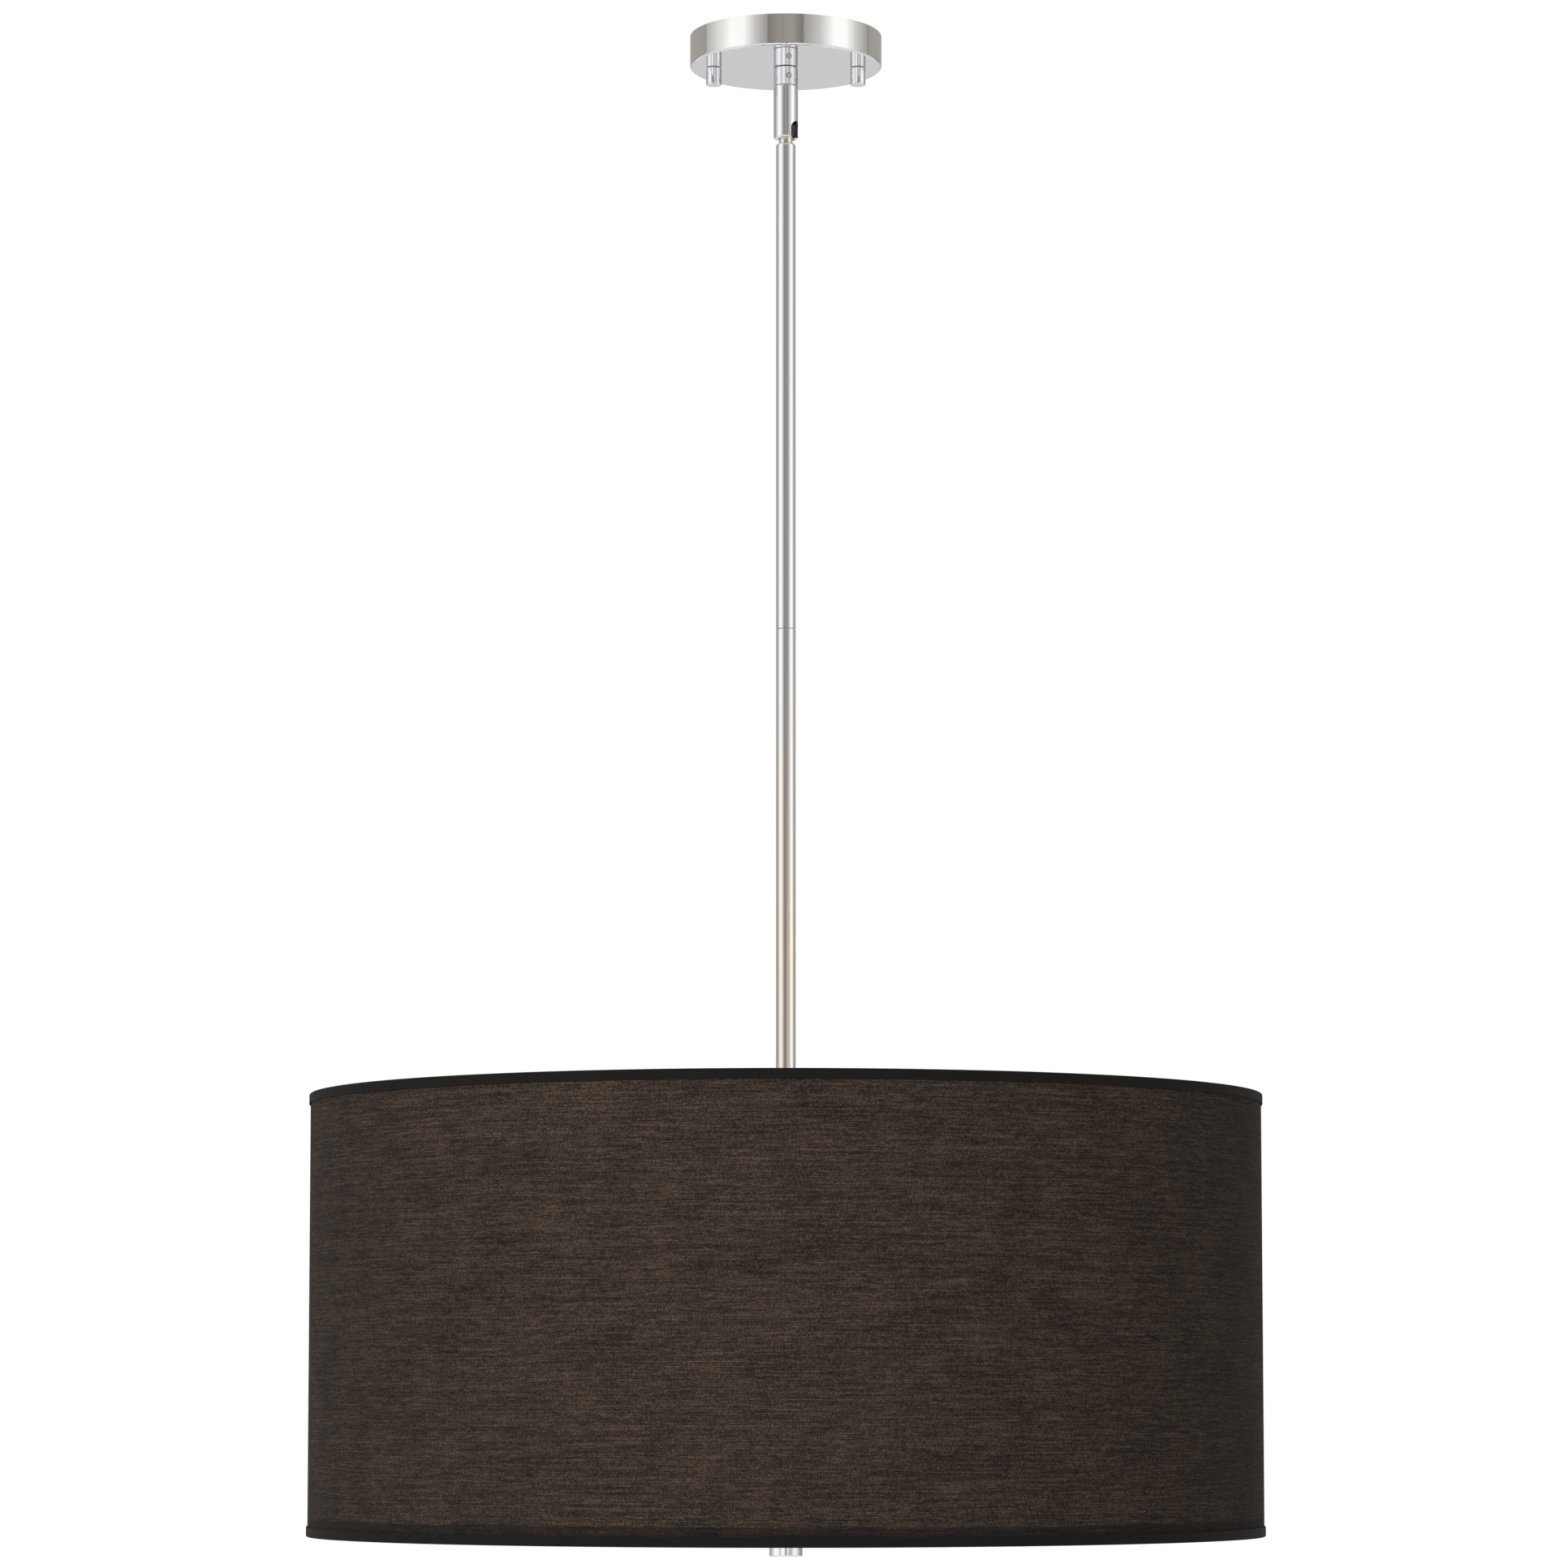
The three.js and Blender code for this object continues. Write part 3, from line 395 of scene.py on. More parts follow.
def rounded(corners, steps=FILLET_STEPS):
    """Outline points from (radius, height) or (radius, height, fillet) corners."""
    points = []
    for i, corner in enumerate(corners):
        here = Vector(corner[:2])
        fillet = corner[2] if len(corner) > 2 else 0
        if fillet <= 0:
            points.append(tuple(here))
            continue
        before = Vector(corners[i - 1][:2]) - here
        after = Vector(corners[(i + 1) % len(corners)][:2]) - here
        half = before.angle(after) / 2
        reach = min(fillet / math.tan(half), before.length / 2, after.length / 2)
        inward = (before.normalized() + after.normalized()).normalized()
        centre = here + inward * (reach / math.cos(half))
        start = here + before.normalized() * reach - centre
        sweep = (here + after.normalized() * reach - centre).angle_signed(start)
        for k in range(steps + 1):
            spoke = start.copy()
            spoke.rotate(Matrix.Rotation(sweep * k / steps, 2))
            points.append(tuple(centre + spoke))
    return points


def arc(centre_r, centre_z, radius, start, end, steps):
    """Points on an arc, with angles in radians anticlockwise from the radius direction."""
    angles = [start + (end - start) * k / steps for k in range(steps + 1)]
    return [(centre_r + radius * math.cos(a), centre_z + radius * math.sin(a)) for a in angles]


def circle(x, y, radius, steps):
    return arc(x, y, radius, 0, FULL_TURN, steps)[:-1]


def bent(points, steps):
    """Places along a smooth bend from the first point to the last, which the points between pull at."""
    places = []
    for k in range(steps + 1):
        stage = [Vector(point) for point in points]
        while len(stage) > 1:
            stage = [a.lerp(b, k / steps) for a, b in zip(stage, stage[1:])]
        places.append(stage[0])
    return places


def eased(points):
    """A smooth curve through some points."""
    stations = [Vector(point) for point in points]
    stations = [2 * stations[0] - stations[1], *stations, 2 * stations[-1] - stations[-2]]
    path = []
    for a, b, c, d in zip(stations, stations[1:], stations[2:], stations[3:]):
        for k in range(LEAD_STEPS):
            t = k / LEAD_STEPS
            curve = 2 * b + (c - a) * t + (2 * a - 5 * b + 4 * c - d) * t ** 2
            path.append((curve + (3 * b - a - 3 * c + d) * t ** 3) / 2)
    return path + [stations[-2]]


def sleeve(outer, inner, top, bottom, edge=0.0):
    """The outline of a tube or a washer."""
    inner_edge = min(edge, BORE_EDGE)
    return rounded([
        (inner, bottom, inner_edge),
        (outer, bottom, edge),
        (outer, top, edge),
        (inner, top, inner_edge),
    ])


def add_object(name, bm):
    """A new object in the scene from a bmesh, shaded smooth with sharp edges kept."""
    bmesh.ops.recalc_face_normals(bm, faces=bm.faces)
    mesh = bpy.data.meshes.new(name)
    bm.to_mesh(mesh)
    bm.free()
    made = bpy.data.objects.new(name, mesh)
    bpy.context.scene.collection.objects.link(made)
    smooth(made)
    return made


def smooth(obj):
    """Smooth shading in which the large faces set the direction, so that long sides reflect straight."""
    obj.data.polygons.foreach_set("use_smooth", [True] * len(obj.data.polygons))
    obj.data.set_sharp_from_angle(angle=SHARP_ANGLE)
    weighted = obj.modifiers.new("weighted", "WEIGHTED_NORMAL")
    weighted.keep_sharp = True
    apply_modifiers(obj)


def bridge(bm, first, second):
    """Faces between two rings of vertices, where one of them may be a single point."""
    if len(first) == 1 and len(second) == 1:
        return
    count = max(len(first), len(second))
    for k in range(count):
        after = (k + 1) % count
        corners = [first[k % len(first)], first[after % len(first)]]
        corners += [second[after % len(second)], second[k % len(second)]]
        bm.faces.new(dict.fromkeys(corners))


def add_turned(bm, outline, steps, x=0.0, y=0.0, shape=None):
    """A turned body in a bmesh. The outline runs from axis to axis or closes on itself."""
    rings = []
    for r, z in outline:
        if r < CLOSE:
            rings.append([bm.verts.new((x, y, z))])
            continue
        ring = []
        for k in range(steps):
            angle = FULL_TURN * k / steps
            reach = shape(r, z, angle) if shape else r
            ring.append(bm.verts.new((x + reach * math.cos(angle), y + reach * math.sin(angle), z)))
        rings.append(ring)
    for first, second in zip(rings, rings[1:]):
        bridge(bm, first, second)
    if len(rings[0]) > 1:
        bridge(bm, rings[-1], rings[0])


def turned(name, outline, steps, x=0.0, y=0.0, shape=None):
    bm = bmesh.new()
    add_turned(bm, outline, steps, x, y, shape)
    return add_object(name, bm)


def add_swept(bm, path, radius, sides, bore=0.0):
    """A tube along a path in a bmesh, with flat ends, and hollow when it has a bore."""
    points = [Vector(point) for point in path]
    last = len(points) - 1
    across = None
    outer_rings = []
    inner_rings = []
    for i, point in enumerate(points):
        along = (points[min(i + 1, last)] - points[max(i - 1, 0)]).normalized()
        across = across - along * across.dot(along) if across else along.orthogonal()
        across.normalize()
        other = along.cross(across)
        for rings, reach in ((outer_rings, radius), (inner_rings, bore)):
            if reach <= 0:
                continue
            spokes = [FULL_TURN * k / sides for k in range(sides)]
            places = [point + reach * (math.cos(a) * across + math.sin(a) * other) for a in spokes]
            rings.append([bm.verts.new(place) for place in places])
    if bore > 0:
        rings = outer_rings + inner_rings[::-1]
        rings.append(rings[0])
    else:
        rings = [[bm.verts.new(points[0])]] + outer_rings + [[bm.verts.new(points[-1])]]
    for first, second in zip(rings, rings[1:]):
        bridge(bm, first, second)


def swept(name, path, radius, sides, bore=0.0):
    bm = bmesh.new()
    add_swept(bm, path, radius, sides, bore)
    return add_object(name, bm)


def prism(name, outline, near, far):
    """A body with an outline in the XZ plane, drawn out towards the front from near to far."""
    bm = bmesh.new()
    rings = [[bm.verts.new((x, -reach, z)) for x, z in outline] for reach in (near, far)]
    bridge(bm, *rings)
    for ring in rings:
        bm.faces.new(ring)
    return add_object(name, bm)


def plate(name, outlines, top, thickness, edge):
    """A flat plate with holes: the first outline is its border and the others are its holes."""
    curve = bpy.data.curves.new(name + "_outline", "CURVE")
    curve.dimensions = "2D"
    curve.fill_mode = "BOTH"
    curve.extrude = thickness / 2 - edge
    curve.bevel_depth = edge
    curve.bevel_resolution = 2
    curve.offset = -edge
    for outline in outlines:
        spline = curve.splines.new("POLY")
        spline.points.add(len(outline) - 1)
        for point, (x, y) in zip(spline.points, outline):
            point.co = (x, y, 0, 1)
        spline.use_cyclic_u = True
    drawn = bpy.data.objects.new(name + "_outline", curve)
    bpy.context.scene.collection.objects.link(drawn)
    bm = bmesh.new()
    bm.from_mesh(evaluated_mesh(drawn))
    bpy.data.objects.remove(drawn)
    bmesh.ops.remove_doubles(bm, verts=bm.verts, dist=CLOSE)
    bmesh.ops.translate(bm, verts=bm.verts, vec=(0, 0, top - thickness / 2))
    return add_object(name, bm)


def evaluated_mesh(obj):
    """A new mesh of what an object looks like with its modifiers."""
    depsgraph = bpy.context.evaluated_depsgraph_get()
    return bpy.data.meshes.new_from_object(obj.evaluated_get(depsgraph))


def apply_modifiers(obj):
    mesh = evaluated_mesh(obj)
    obj.modifiers.clear()
    obj.data = mesh


def cut_away(obj, *tools):
    """Cuts the tools out of an object and removes them."""
    for tool in tools:
        cut = obj.modifiers.new("cut", "BOOLEAN")
        cut.operation = "DIFFERENCE"
        cut.solver = "EXACT"
        cut.object = tool
    apply_modifiers(obj)
    for tool in tools:
        bpy.data.objects.remove(tool)
    smooth(obj)
    return obj


def hexagon(flats):
    """Limits a radius to a hexagon with a corner towards +X."""
    apothem = flats / 2
    return lambda r, z, angle: min(r, apothem / math.cos(angle % (math.pi / 3) - math.pi / 6))


def nut_outline(flats, hole, top, bottom):
    """The outline of a nut whose corners are turned off."""
    corner = flats / 2 / math.cos(math.pi / 6)
    inner = flats / 2 * NUT_FACE_SHARE
    turned_off = (corner - inner) * NUT_CORNER_SHARE
    return [
        (hole, bottom),
        (inner, bottom),
        ((inner + corner) / 2, bottom + turned_off / 2),
        (corner, bottom + turned_off),
        (corner, top - turned_off),
        ((inner + corner) / 2, top - turned_off / 2),
        (inner, top),
        (hole, top),
    ]


def threaded_outline(radius, inner, top, bottom, pitch):
    """An outline with enough points up its outside for a thread. With no bore, inner is zero."""
    count = max(2, round((top - bottom) / pitch * THREAD_POINTS))
    side = [(radius, bottom + (top - bottom) * k / count) for k in range(count + 1)]
    return [(inner, bottom)] + side + [(inner, top)]


def thread(radius, pitch, depth, top, bottom):
    """Draws a radius in along a helix, fading out towards both ends."""
    def shape(r, z, angle):
        if abs(r - radius) > CLOSE:
            return r
        wave = abs((z / pitch - angle / FULL_TURN) % 1 - 0.5) * 2
        ends = min(1, (top - z) / pitch, (z - bottom) / pitch)
        return r - depth * (1 - ends + ends * wave)
    return shape


# Finishes

class NodeCalls:
    """Short calls for the nodes of one tree."""

    def __init__(self, tree):
        self.tree = tree

    def node(self, kind, inputs=None, **options):
        made = self.tree.nodes.new("ShaderNode" + kind)
        for key, value in options.items():
            setattr(made, key, value)
        for key, value in (inputs or {}).items():
            self.feed(made.inputs[key], value)
        return made

    def feed(self, socket, value):
        if isinstance(value, bpy.types.NodeSocket):
            self.tree.links.new(value, socket)
        else:
            socket.default_value = value

    def calc(self, operation, *values):
        return self.node("Math", dict(enumerate(values)), operation=operation).outputs[0]

    def span(self, value, low, high, new_low=0.0, new_high=1.0, kind="LINEAR"):
        inputs = {0: value, 1: low, 2: high, 3: new_low, 4: new_high}
        return self.node("MapRange", inputs, interpolation_type=kind).outputs[0]


class Recipe(NodeCalls):
    """A material in the making: its main shader, and what feeds it."""

    def __init__(self, name):
        self.material = bpy.data.materials.new(name)
        self.material.use_nodes = True
        super().__init__(self.material.node_tree)
        self.shader = self.tree.nodes["Principled BSDF"]
        self.place = self.node("TexCoord").outputs["Object"]

    def set(self, **values):
        """Sets inputs of the main shader, with spaces written as underscores."""
        for key, value in values.items():
            self.feed(self.shader.inputs[key.replace("_", " ")], value)

    def show(self, shader):
        """Makes a shader node the one that the surface shows."""
        self.feed(self.tree.nodes["Material Output"].inputs["Surface"], shader.outputs[0])

    def round_about(self):
        """The direction from the axis, in radians from the front towards the right, and the height."""
        x, y, z = self.node("SeparateXYZ", {0: self.place}).outputs
        return self.calc("ARCTAN2", x, self.calc("MULTIPLY", y, -1)), z

    def stretched(self, factors):
        return self.node("VectorMath", {0: self.place, 1: factors}, operation="MULTIPLY").outputs[0]

    def noise(self, scale, detail=2.0, vector=None):
        inputs = {"Vector": vector or self.place, "Scale": scale, "Detail": detail}
        return self.node("TexNoise", inputs).outputs[0]

    def spread(self, noise, low=0.0, high=1.0):
        """The usual values of a noise, which are 0.3 to 0.7, spread between two others."""
        return self.span(noise, 0.3, 0.7, low, high)

    def mix(self, factor, first, second):
        inputs = {0: factor, 6: with_alpha(first), 7: with_alpha(second)}
        return self.node("Mix", inputs, data_type="RGBA").outputs[2]

    def multiply(self, first, second):
        """Two colours multiplied."""
        made = self.mix(1.0, first, second).node
        made.blend_type = "MULTIPLY"
        return made.outputs[2]

    def mottle(self, noise, first, second):
        """Two colours in the patches of a noise."""
        return self.mix(self.spread(noise), first, second)

    def bump(self, height, distance):
        self.set(Normal=self.node("Bump", {"Distance": distance, "Height": height}).outputs[0])


def with_alpha(value):
    return value if isinstance(value, bpy.types.NodeSocket) else (*value, 1)


def shaded(tone, share):
    """A colour with its light scaled by a share."""
    return tuple(min(1.0, part * share) for part in tone)


def polished_metal(name, tone, rough):
    """Plated metal with faint haze, and a ripple far too shallow to bend a reflected line."""
    made = Recipe(name)
    haze = made.noise(scale=38, detail=5)
    wipe = made.noise(scale=9, detail=3, vector=made.stretched((1, 1, 6)))
    dull = made.span(made.calc("MULTIPLY", haze, wipe), 0.1, 0.5)
    made.set(
        Base_Color=made.mix(dull, tone, shaded(tone, 0.97)),
        Metallic=1.0,
        Roughness=made.span(dull, 0.0, 1.0, rough * 0.75, rough * 1.5),
    )
    made.bump(made.noise(scale=160), distance=0.0006 * MM)
    return made.material


def turned_metal(name, tone, rough, depth):
    """Metal with the fine rings that a lathe tool or a satin brush leaves, and worn patches."""
    made = Recipe(name)
    rings = made.noise(scale=1, detail=3, vector=made.stretched((260, 260, 9000)))
    made.set(
        Base_Color=made.mottle(made.noise(scale=70, detail=4), shaded(tone, 0.9), tone),
        Metallic=1.0,
        Roughness=made.spread(rings, rough * 0.8, rough * 1.25),
    )
    made.bump(rings, depth)
    return made.material


def zinc_plate(name, tone):
    """Zinc plate: small dull spangles with a faint change of tint."""
    made = Recipe(name)
    inputs = {"Vector": made.place, "Scale": 520.0, "Randomness": 1.0}
    spangle = made.node("TexVoronoi", inputs).outputs["Color"]
    grain = made.node("RGBToBW", {0: spangle}).outputs[0]
    stain = made.noise(scale=45, detail=4)
    base = made.mix(made.span(grain, 0.2, 0.8), shaded(tone, 0.78), tone)
    tint = (tone[0] * 0.98, tone[1] * 0.95, tone[2] * 0.82)
    made.set(
        Base_Color=made.mix(made.span(stain, 0.5, 0.75, 0, 0.6), base, tint),
        Metallic=1.0,
        Roughness=made.span(grain, 0.0, 1.0, 0.34, 0.52),
    )
    made.bump(made.noise(scale=900, detail=3), distance=0.01 * MM)
    return made.material


def moulded(name, tone, rough, grain, depth, mottle=0.94):
    """Moulded plastic, rubber or a coat of paint, with a fine skin texture and a slight mottle."""
    made = Recipe(name)
    skin = made.noise(grain, detail=3)
    made.set(
        Base_Color=made.mottle(made.noise(scale=55, detail=4), shaded(tone, mottle), tone),
        Roughness=made.spread(skin, rough * 0.85, rough * 1.15),
    )
    made.bump(skin, depth)
    return made.material


def opal(name, tone, rough):
    """Milky plastic or glass that light sinks into."""
    made = Recipe(name)
    made.set(
        Base_Color=made.mottle(made.noise(scale=14, detail=3), shaded(tone, 0.97), tone),
        Roughness=made.spread(made.noise(scale=420), rough * 0.85, rough * 1.2),
        Subsurface_Weight=0.25,
        Subsurface_Radius=(3 * MM, 3 * MM, 2.6 * MM),
        Subsurface_Scale=1.0,
        Coat_Weight=0.2,
        Coat_Roughness=0.15,
    )
    made.bump(made.noise(scale=700), distance=0.004 * MM)
    return made.material


def round_the_drum(made):
    """The way round the drum and the height, in metres, as two outputs."""
    angle, height = made.round_about()
    return made.calc("MULTIPLY", angle, Span("shade_fabric").radius), height


# How often a thread's tone changes in a metre: slowly and quickly in the weft, and in the warp
WEFT_SLOW_RUN = 14.0
WEFT_QUICK_RUN = 90.0
WARP_RUN = 500.0
# How far apart two neighbouring threads lie in the noise that gives their tones
THREAD_STRIDE = 3.71
# How much of the weft's tone the warp takes on, and how much of all tones is left to chance
WEFT_IN_WARP_SHARE = 0.6
FLECK_SHARE = 0.33
# How much of its tone the fabric keeps in the gaps between threads, which is painted shade, on their
# crowns, which is a painted highlight, and in the darker band above the bottom hem, whose edge fades
GAP_PAINTED_SHADE = 0.5
CROWN_PAINTED_HIGHLIGHT = 1.12
BAND_TONE = 0.62
BAND_FADE = (-0.5 * MM, 1.5 * MM)
# How far clouds lighten or darken it, and the tones that the darkest and lightest threads have
CLOUD_TONE = 0.05
DARKEST_TONE = 0.08
LIGHTEST_TONE = 0.83
# How much a thread's tone adds to its relief
THREAD_RELIEF_SHARE = 0.8
# How often the hem's tone changes in a metre round the drum and up it
HEM_RUN = 140
HEM_RIBS = 2600


def woven_fabric(name):
    """Plain weave of slubby threads: each thread has its own tone, which drifts along it."""
    made = Recipe(name)
    tones = setting("colours")
    sizes = setting("shade")
    along, up = round_the_drum(made)
    waver = made.calc("MULTIPLY", made.noise(scale=90), sizes.waver)
    column = made.calc("DIVIDE", along, sizes.warp_pitch)
    row = made.calc("DIVIDE", made.calc("ADD", up, waver), sizes.weft_pitch)
    warp_number = made.calc("FLOOR", column)
    weft_number = made.calc("FLOOR", row)

    def thread_tone(lengthwise, run, number, seed):
        """A tone for each thread, which changes along it about run times a metre."""
        stride = made.calc("MULTIPLY", number, THREAD_STRIDE)
        parts = {0: made.calc("MULTIPLY", lengthwise, run), 1: stride, 2: seed}
        return made.spread(made.noise(scale=1, vector=made.node("CombineXYZ", parts).outputs[0]))

    def across(place):
        """The rounded height of a thread, from 0 in the gap to 1 on its crown."""
        return made.calc("ABSOLUTE", made.calc("SINE", made.calc("MULTIPLY", place, math.pi)))

    def blend(first, second, share):
        """A number between two others."""
        return made.calc("ADD", first, made.calc("MULTIPLY", share, made.calc("SUBTRACT", second, first)))

    slow = thread_tone(along, WEFT_SLOW_RUN, weft_number, seed=0.0)
    quick = thread_tone(along, WEFT_QUICK_RUN, weft_number, seed=7.3)
    weft = blend(slow, quick, 0.5)
    warp = thread_tone(up, WARP_RUN, warp_number, seed=13.1)
    crossing = made.node("CombineXYZ", {0: warp_number, 1: weft_number}).outputs[0]
    fleck = made.node("TexWhiteNoise", {"Vector": crossing}, noise_dimensions="2D").outputs[0]
    over = made.calc("FLOORED_MODULO", made.calc("ADD", warp_number, weft_number), 2.0)
    crown = blend(across(column), across(row), over)
    thread = blend(blend(warp, weft, WEFT_IN_WARP_SHARE), weft, over)
    tone = blend(thread, fleck, FLECK_SHARE)
    # Painted shade in the gaps between threads and a painted highlight on their crowns
    tone = made.calc("MULTIPLY", tone, made.span(crown, 0.0, 1.0, GAP_PAINTED_SHADE, CROWN_PAINTED_HIGHLIGHT))
    # The fabric is darker from the bottom hem up to a little above it, with a soft upper edge
    band_low, band_high = (Span("bottom_hem").top + sizes.band_rise + fade for fade in BAND_FADE)
    banded = made.span(up, band_low, band_high, BAND_TONE, 1.0, "SMOOTHSTEP")
    tone = made.calc("MULTIPLY", tone, banded)
    cloud = made.spread(made.noise(scale=34, detail=5), -CLOUD_TONE, CLOUD_TONE)
    tone = made.calc("ADD", tone, cloud)
    ramp = made.node("ValToRGB", {0: made.span(tone, DARKEST_TONE, LIGHTEST_TONE)})
    stops = ramp.color_ramp.elements
    stops.new(0.5)
    for stop, colour_there in zip(stops, (tones.fabric_darkest_and_gap_shade, tones.fabric, tones.fabric_slub)):
        stop.color = with_alpha(colour_there)
    made.set(
        Base_Color=ramp.outputs[0],
        Roughness=0.8,
        Specular_IOR_Level=0.04,
        Sheen_Weight=0.02,
        Sheen_Roughness=0.4,
        Sheen_Tint=(0.85, 0.93, 1, 1),
    )
    height = made.calc("ADD", crown, made.calc("MULTIPLY", thread, THREAD_RELIEF_SHARE))
    made.bump(height, sizes.thread_relief)
    return made.material


def hem_tape(name):
    """Dark folded tape with a fine rib along it."""
    made = Recipe(name)
    tone = setting("colours").hem
    along, up = round_the_drum(made)
    parts = {0: made.calc("MULTIPLY", along, HEM_RUN), 1: made.calc("MULTIPLY", up, HEM_RIBS)}
    rib = made.noise(scale=1, detail=3, vector=made.node("CombineXYZ", parts).outputs[0])
    cloud = made.noise(scale=60, detail=3)
    base = made.mottle(rib, shaded(tone, 0.8), shaded(tone, 1.12))
    made.set(
        Base_Color=made.mix(made.span(cloud, 0.4, 0.8, 0, 0.4), base, shaded(tone, 1.3)),
        Roughness=0.75,
        Specular_IOR_Level=0.1,
        Sheen_Weight=0.02,
        Sheen_Roughness=0.5,
    )
    made.bump(rib, distance=0.05 * MM)
    return made.material


def finish(slot):
    """The material for one of the record's slots, made when it is first asked for."""
    name = "finish_" + slot
    if name in bpy.data.materials:
        return bpy.data.materials[name]
    tones = setting("colours")
    insulation = {"rough": 0.5, "grain": 1500, "depth": 0.01 * MM}
    makers = {
        "chrome": lambda: polished_metal(name, tones.chrome, rough=0.02),
        "satin_nickel": lambda: turned_metal(name, tones.nickel, rough=0.12, depth=0.001 * MM),
        "zinc_steel": lambda: zinc_plate(name, tones.zinc),
        "brass": lambda: turned_metal(name, tones.brass, rough=0.3, depth=0.004 * MM),
        "ground_green": lambda: turned_metal(name, tones.green_zinc, rough=0.36, depth=0.003 * MM),
        "shade_fabric": lambda: woven_fabric(name),
        "hem_fabric": lambda: hem_tape(name),
        "white_styrene": lambda: moulded(name, tones.styrene, 0.6, grain=700, depth=0.02 * MM, mottle=0.97),
        "white_enamel": lambda: moulded(name, tones.enamel, 0.36, grain=1100, depth=0.03 * MM, mottle=0.97),
        "opal_acrylic": lambda: opal(name, tones.opal, rough=0.32),
        "phenolic": lambda: moulded(name, tones.phenolic, 0.42, grain=600, depth=0.01 * MM, mottle=0.8),
        "bulb_glass": lambda: opal(name, tones.bulb, rough=0.18),
        "black_insulation": lambda: moulded(name, tones.black_wire, **insulation),
        "white_insulation": lambda: moulded(name, tones.white_wire, **insulation),
        "green_insulation": lambda: moulded(name, tones.green_wire, **insulation),
        "wire_nut_plastic": lambda: moulded(name, tones.wire_nut, 0.45, grain=800, depth=0.01 * MM),
    }
    return makers[slot]()


# Pieces in general

def fit(obj, node, slot=None):
    """Finishes a piece that stands for a CAD node, and lets it ride where the node rides."""
    slot = slot or SLOT_OF[node]
    obj.data.materials.clear()
    obj.data.materials.append(finish(slot))
    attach(obj, BODY_OF[node])
    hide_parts(node)
    return obj


def turn_piece(node, outline, steps=ROD_STEPS, at=None, shape=None, ending="_finished", slot=None):
    """Turns a piece that stands for a node, about the lamp's axis or the axis of a span."""
    x, y = (at.x, at.y) if at else (0, 0)
    return fit(turned(node + ending, outline, steps, x, y, shape), node, slot)


def sleeve_piece(node, hole, edge=0.0, steps=ROD_STEPS):
    """A plain tube, disc or washer as large as its node."""
    span = Span(node)
    turn_piece(node, sleeve(span.radius, hole, span.top, span.bottom, edge), steps)


def nut_piece(node, flats, hole, steps=ROD_STEPS, at=None):
    """A hexagon nut as high as its node."""
    nut = Span(node)
    turn_piece(node, nut_outline(flats, hole, nut.top, nut.bottom), steps, at, hexagon(flats))


def threaded_piece(node, pitch, depth, at=None):
    """A solid rod as large as its node, with a thread all the way up."""
    rod = Span(node)
    outline = threaded_outline(rod.radius, 0, rod.top, rod.bottom, pitch)
    turn_piece(node, outline, WIRE_STEPS, at, thread(rod.radius, pitch, depth, rod.top, rod.bottom))


def keep(*nodes):
    """Gives CAD nodes that stay as they are their finish."""
    for node in nodes:
        for held in frame["nodes"][node].material_slots:
            held.material = finish(SLOT_OF[node])


# Fixings at the ceiling

def stadium(start, end, radius):
    """A slot's outline along X, between two ends."""
    right = arc(end - radius, 0, radius, -math.pi / 2, math.pi / 2, SMALL_STEPS // 2)
    left = arc(start + radius, 0, radius, math.pi / 2, 3 * math.pi / 2, SMALL_STEPS // 2)
    return right + left


def make_crossbar():
    sizes = setting("fixings")
    low, high = box_of("crossbar")
    corners = ((low.x, low.y), (high.x, low.y), (high.x, high.y), (low.x, high.y))
    border = rounded([(x, y, sizes.bar_corner) for x, y in corners], FINE_FILLET_STEPS)
    slots = [(sizes.slot_inner, sizes.slot_outer), (-sizes.slot_outer, -sizes.slot_inner)]
    holes = [stadium(start, end, sizes.slot_width / 2) for start, end in slots]
    stud_hole = sizes.stud_radius + sizes.stud_gap
    holes += [circle(Span("mount_stud_" + side).x, 0, stud_hole, SMALL_STEPS) for side in SIDES]
    holes.append(circle(Span("ground_screw").x, 0, sizes.ground_shank + sizes.stud_gap, SMALL_STEPS))
    bar = plate("crossbar_finished", [border, *holes], high.z, high.z - low.z, sizes.bar_edge)
    fit(bar, "crossbar")


def make_ground_screw():
    sizes = setting("fixings")
    screw = Span("ground_screw")
    head = screw.bottom + sizes.ground_head
    recess = screw.bottom + sizes.recess_depth
    outline = rounded([
        (0, recess),
        (sizes.recess_radius, recess),
        (sizes.recess_radius + sizes.recess_flare, screw.bottom, BROKEN_EDGE),
        (screw.radius, screw.bottom, sizes.ground_crown),
        (screw.radius, head, BROKEN_EDGE),
        (sizes.ground_shank, head),
        (sizes.ground_shank, screw.top, EASED_EDGE),
        (0, screw.top),
    ])
    turn_piece("ground_screw", outline, SMALL_STEPS, screw)


def make_stud(side):
    sizes = setting("fixings")
    stud = Span("mount_stud_" + side)
    threaded_piece("mount_stud_" + side, sizes.stud_pitch, sizes.stud_thread, stud)
    nut = "stud_nut_" + side
    nut_piece(nut, sizes.nut_flats, stud.radius + sizes.stud_gap, SMALL_STEPS, Span(nut))


def make_knob(side):
    sizes = setting("fixings")
    knob = Span("knob_" + side)
    stud = Span("mount_stud_" + side)
    hole = stud.radius + sizes.stud_gap
    bore = stud.bottom - sizes.stud_gap
    outline = rounded([
        (0, knob.bottom),
        (knob.radius, knob.bottom, sizes.knob_edge),
        (knob.radius, knob.top, sizes.knob_rim),
        (hole, knob.top),
        (hole, bore),
        (0, bore),
    ], SHOWN_FILLET_STEPS)
    turn_piece("knob_" + side, outline, at=knob)


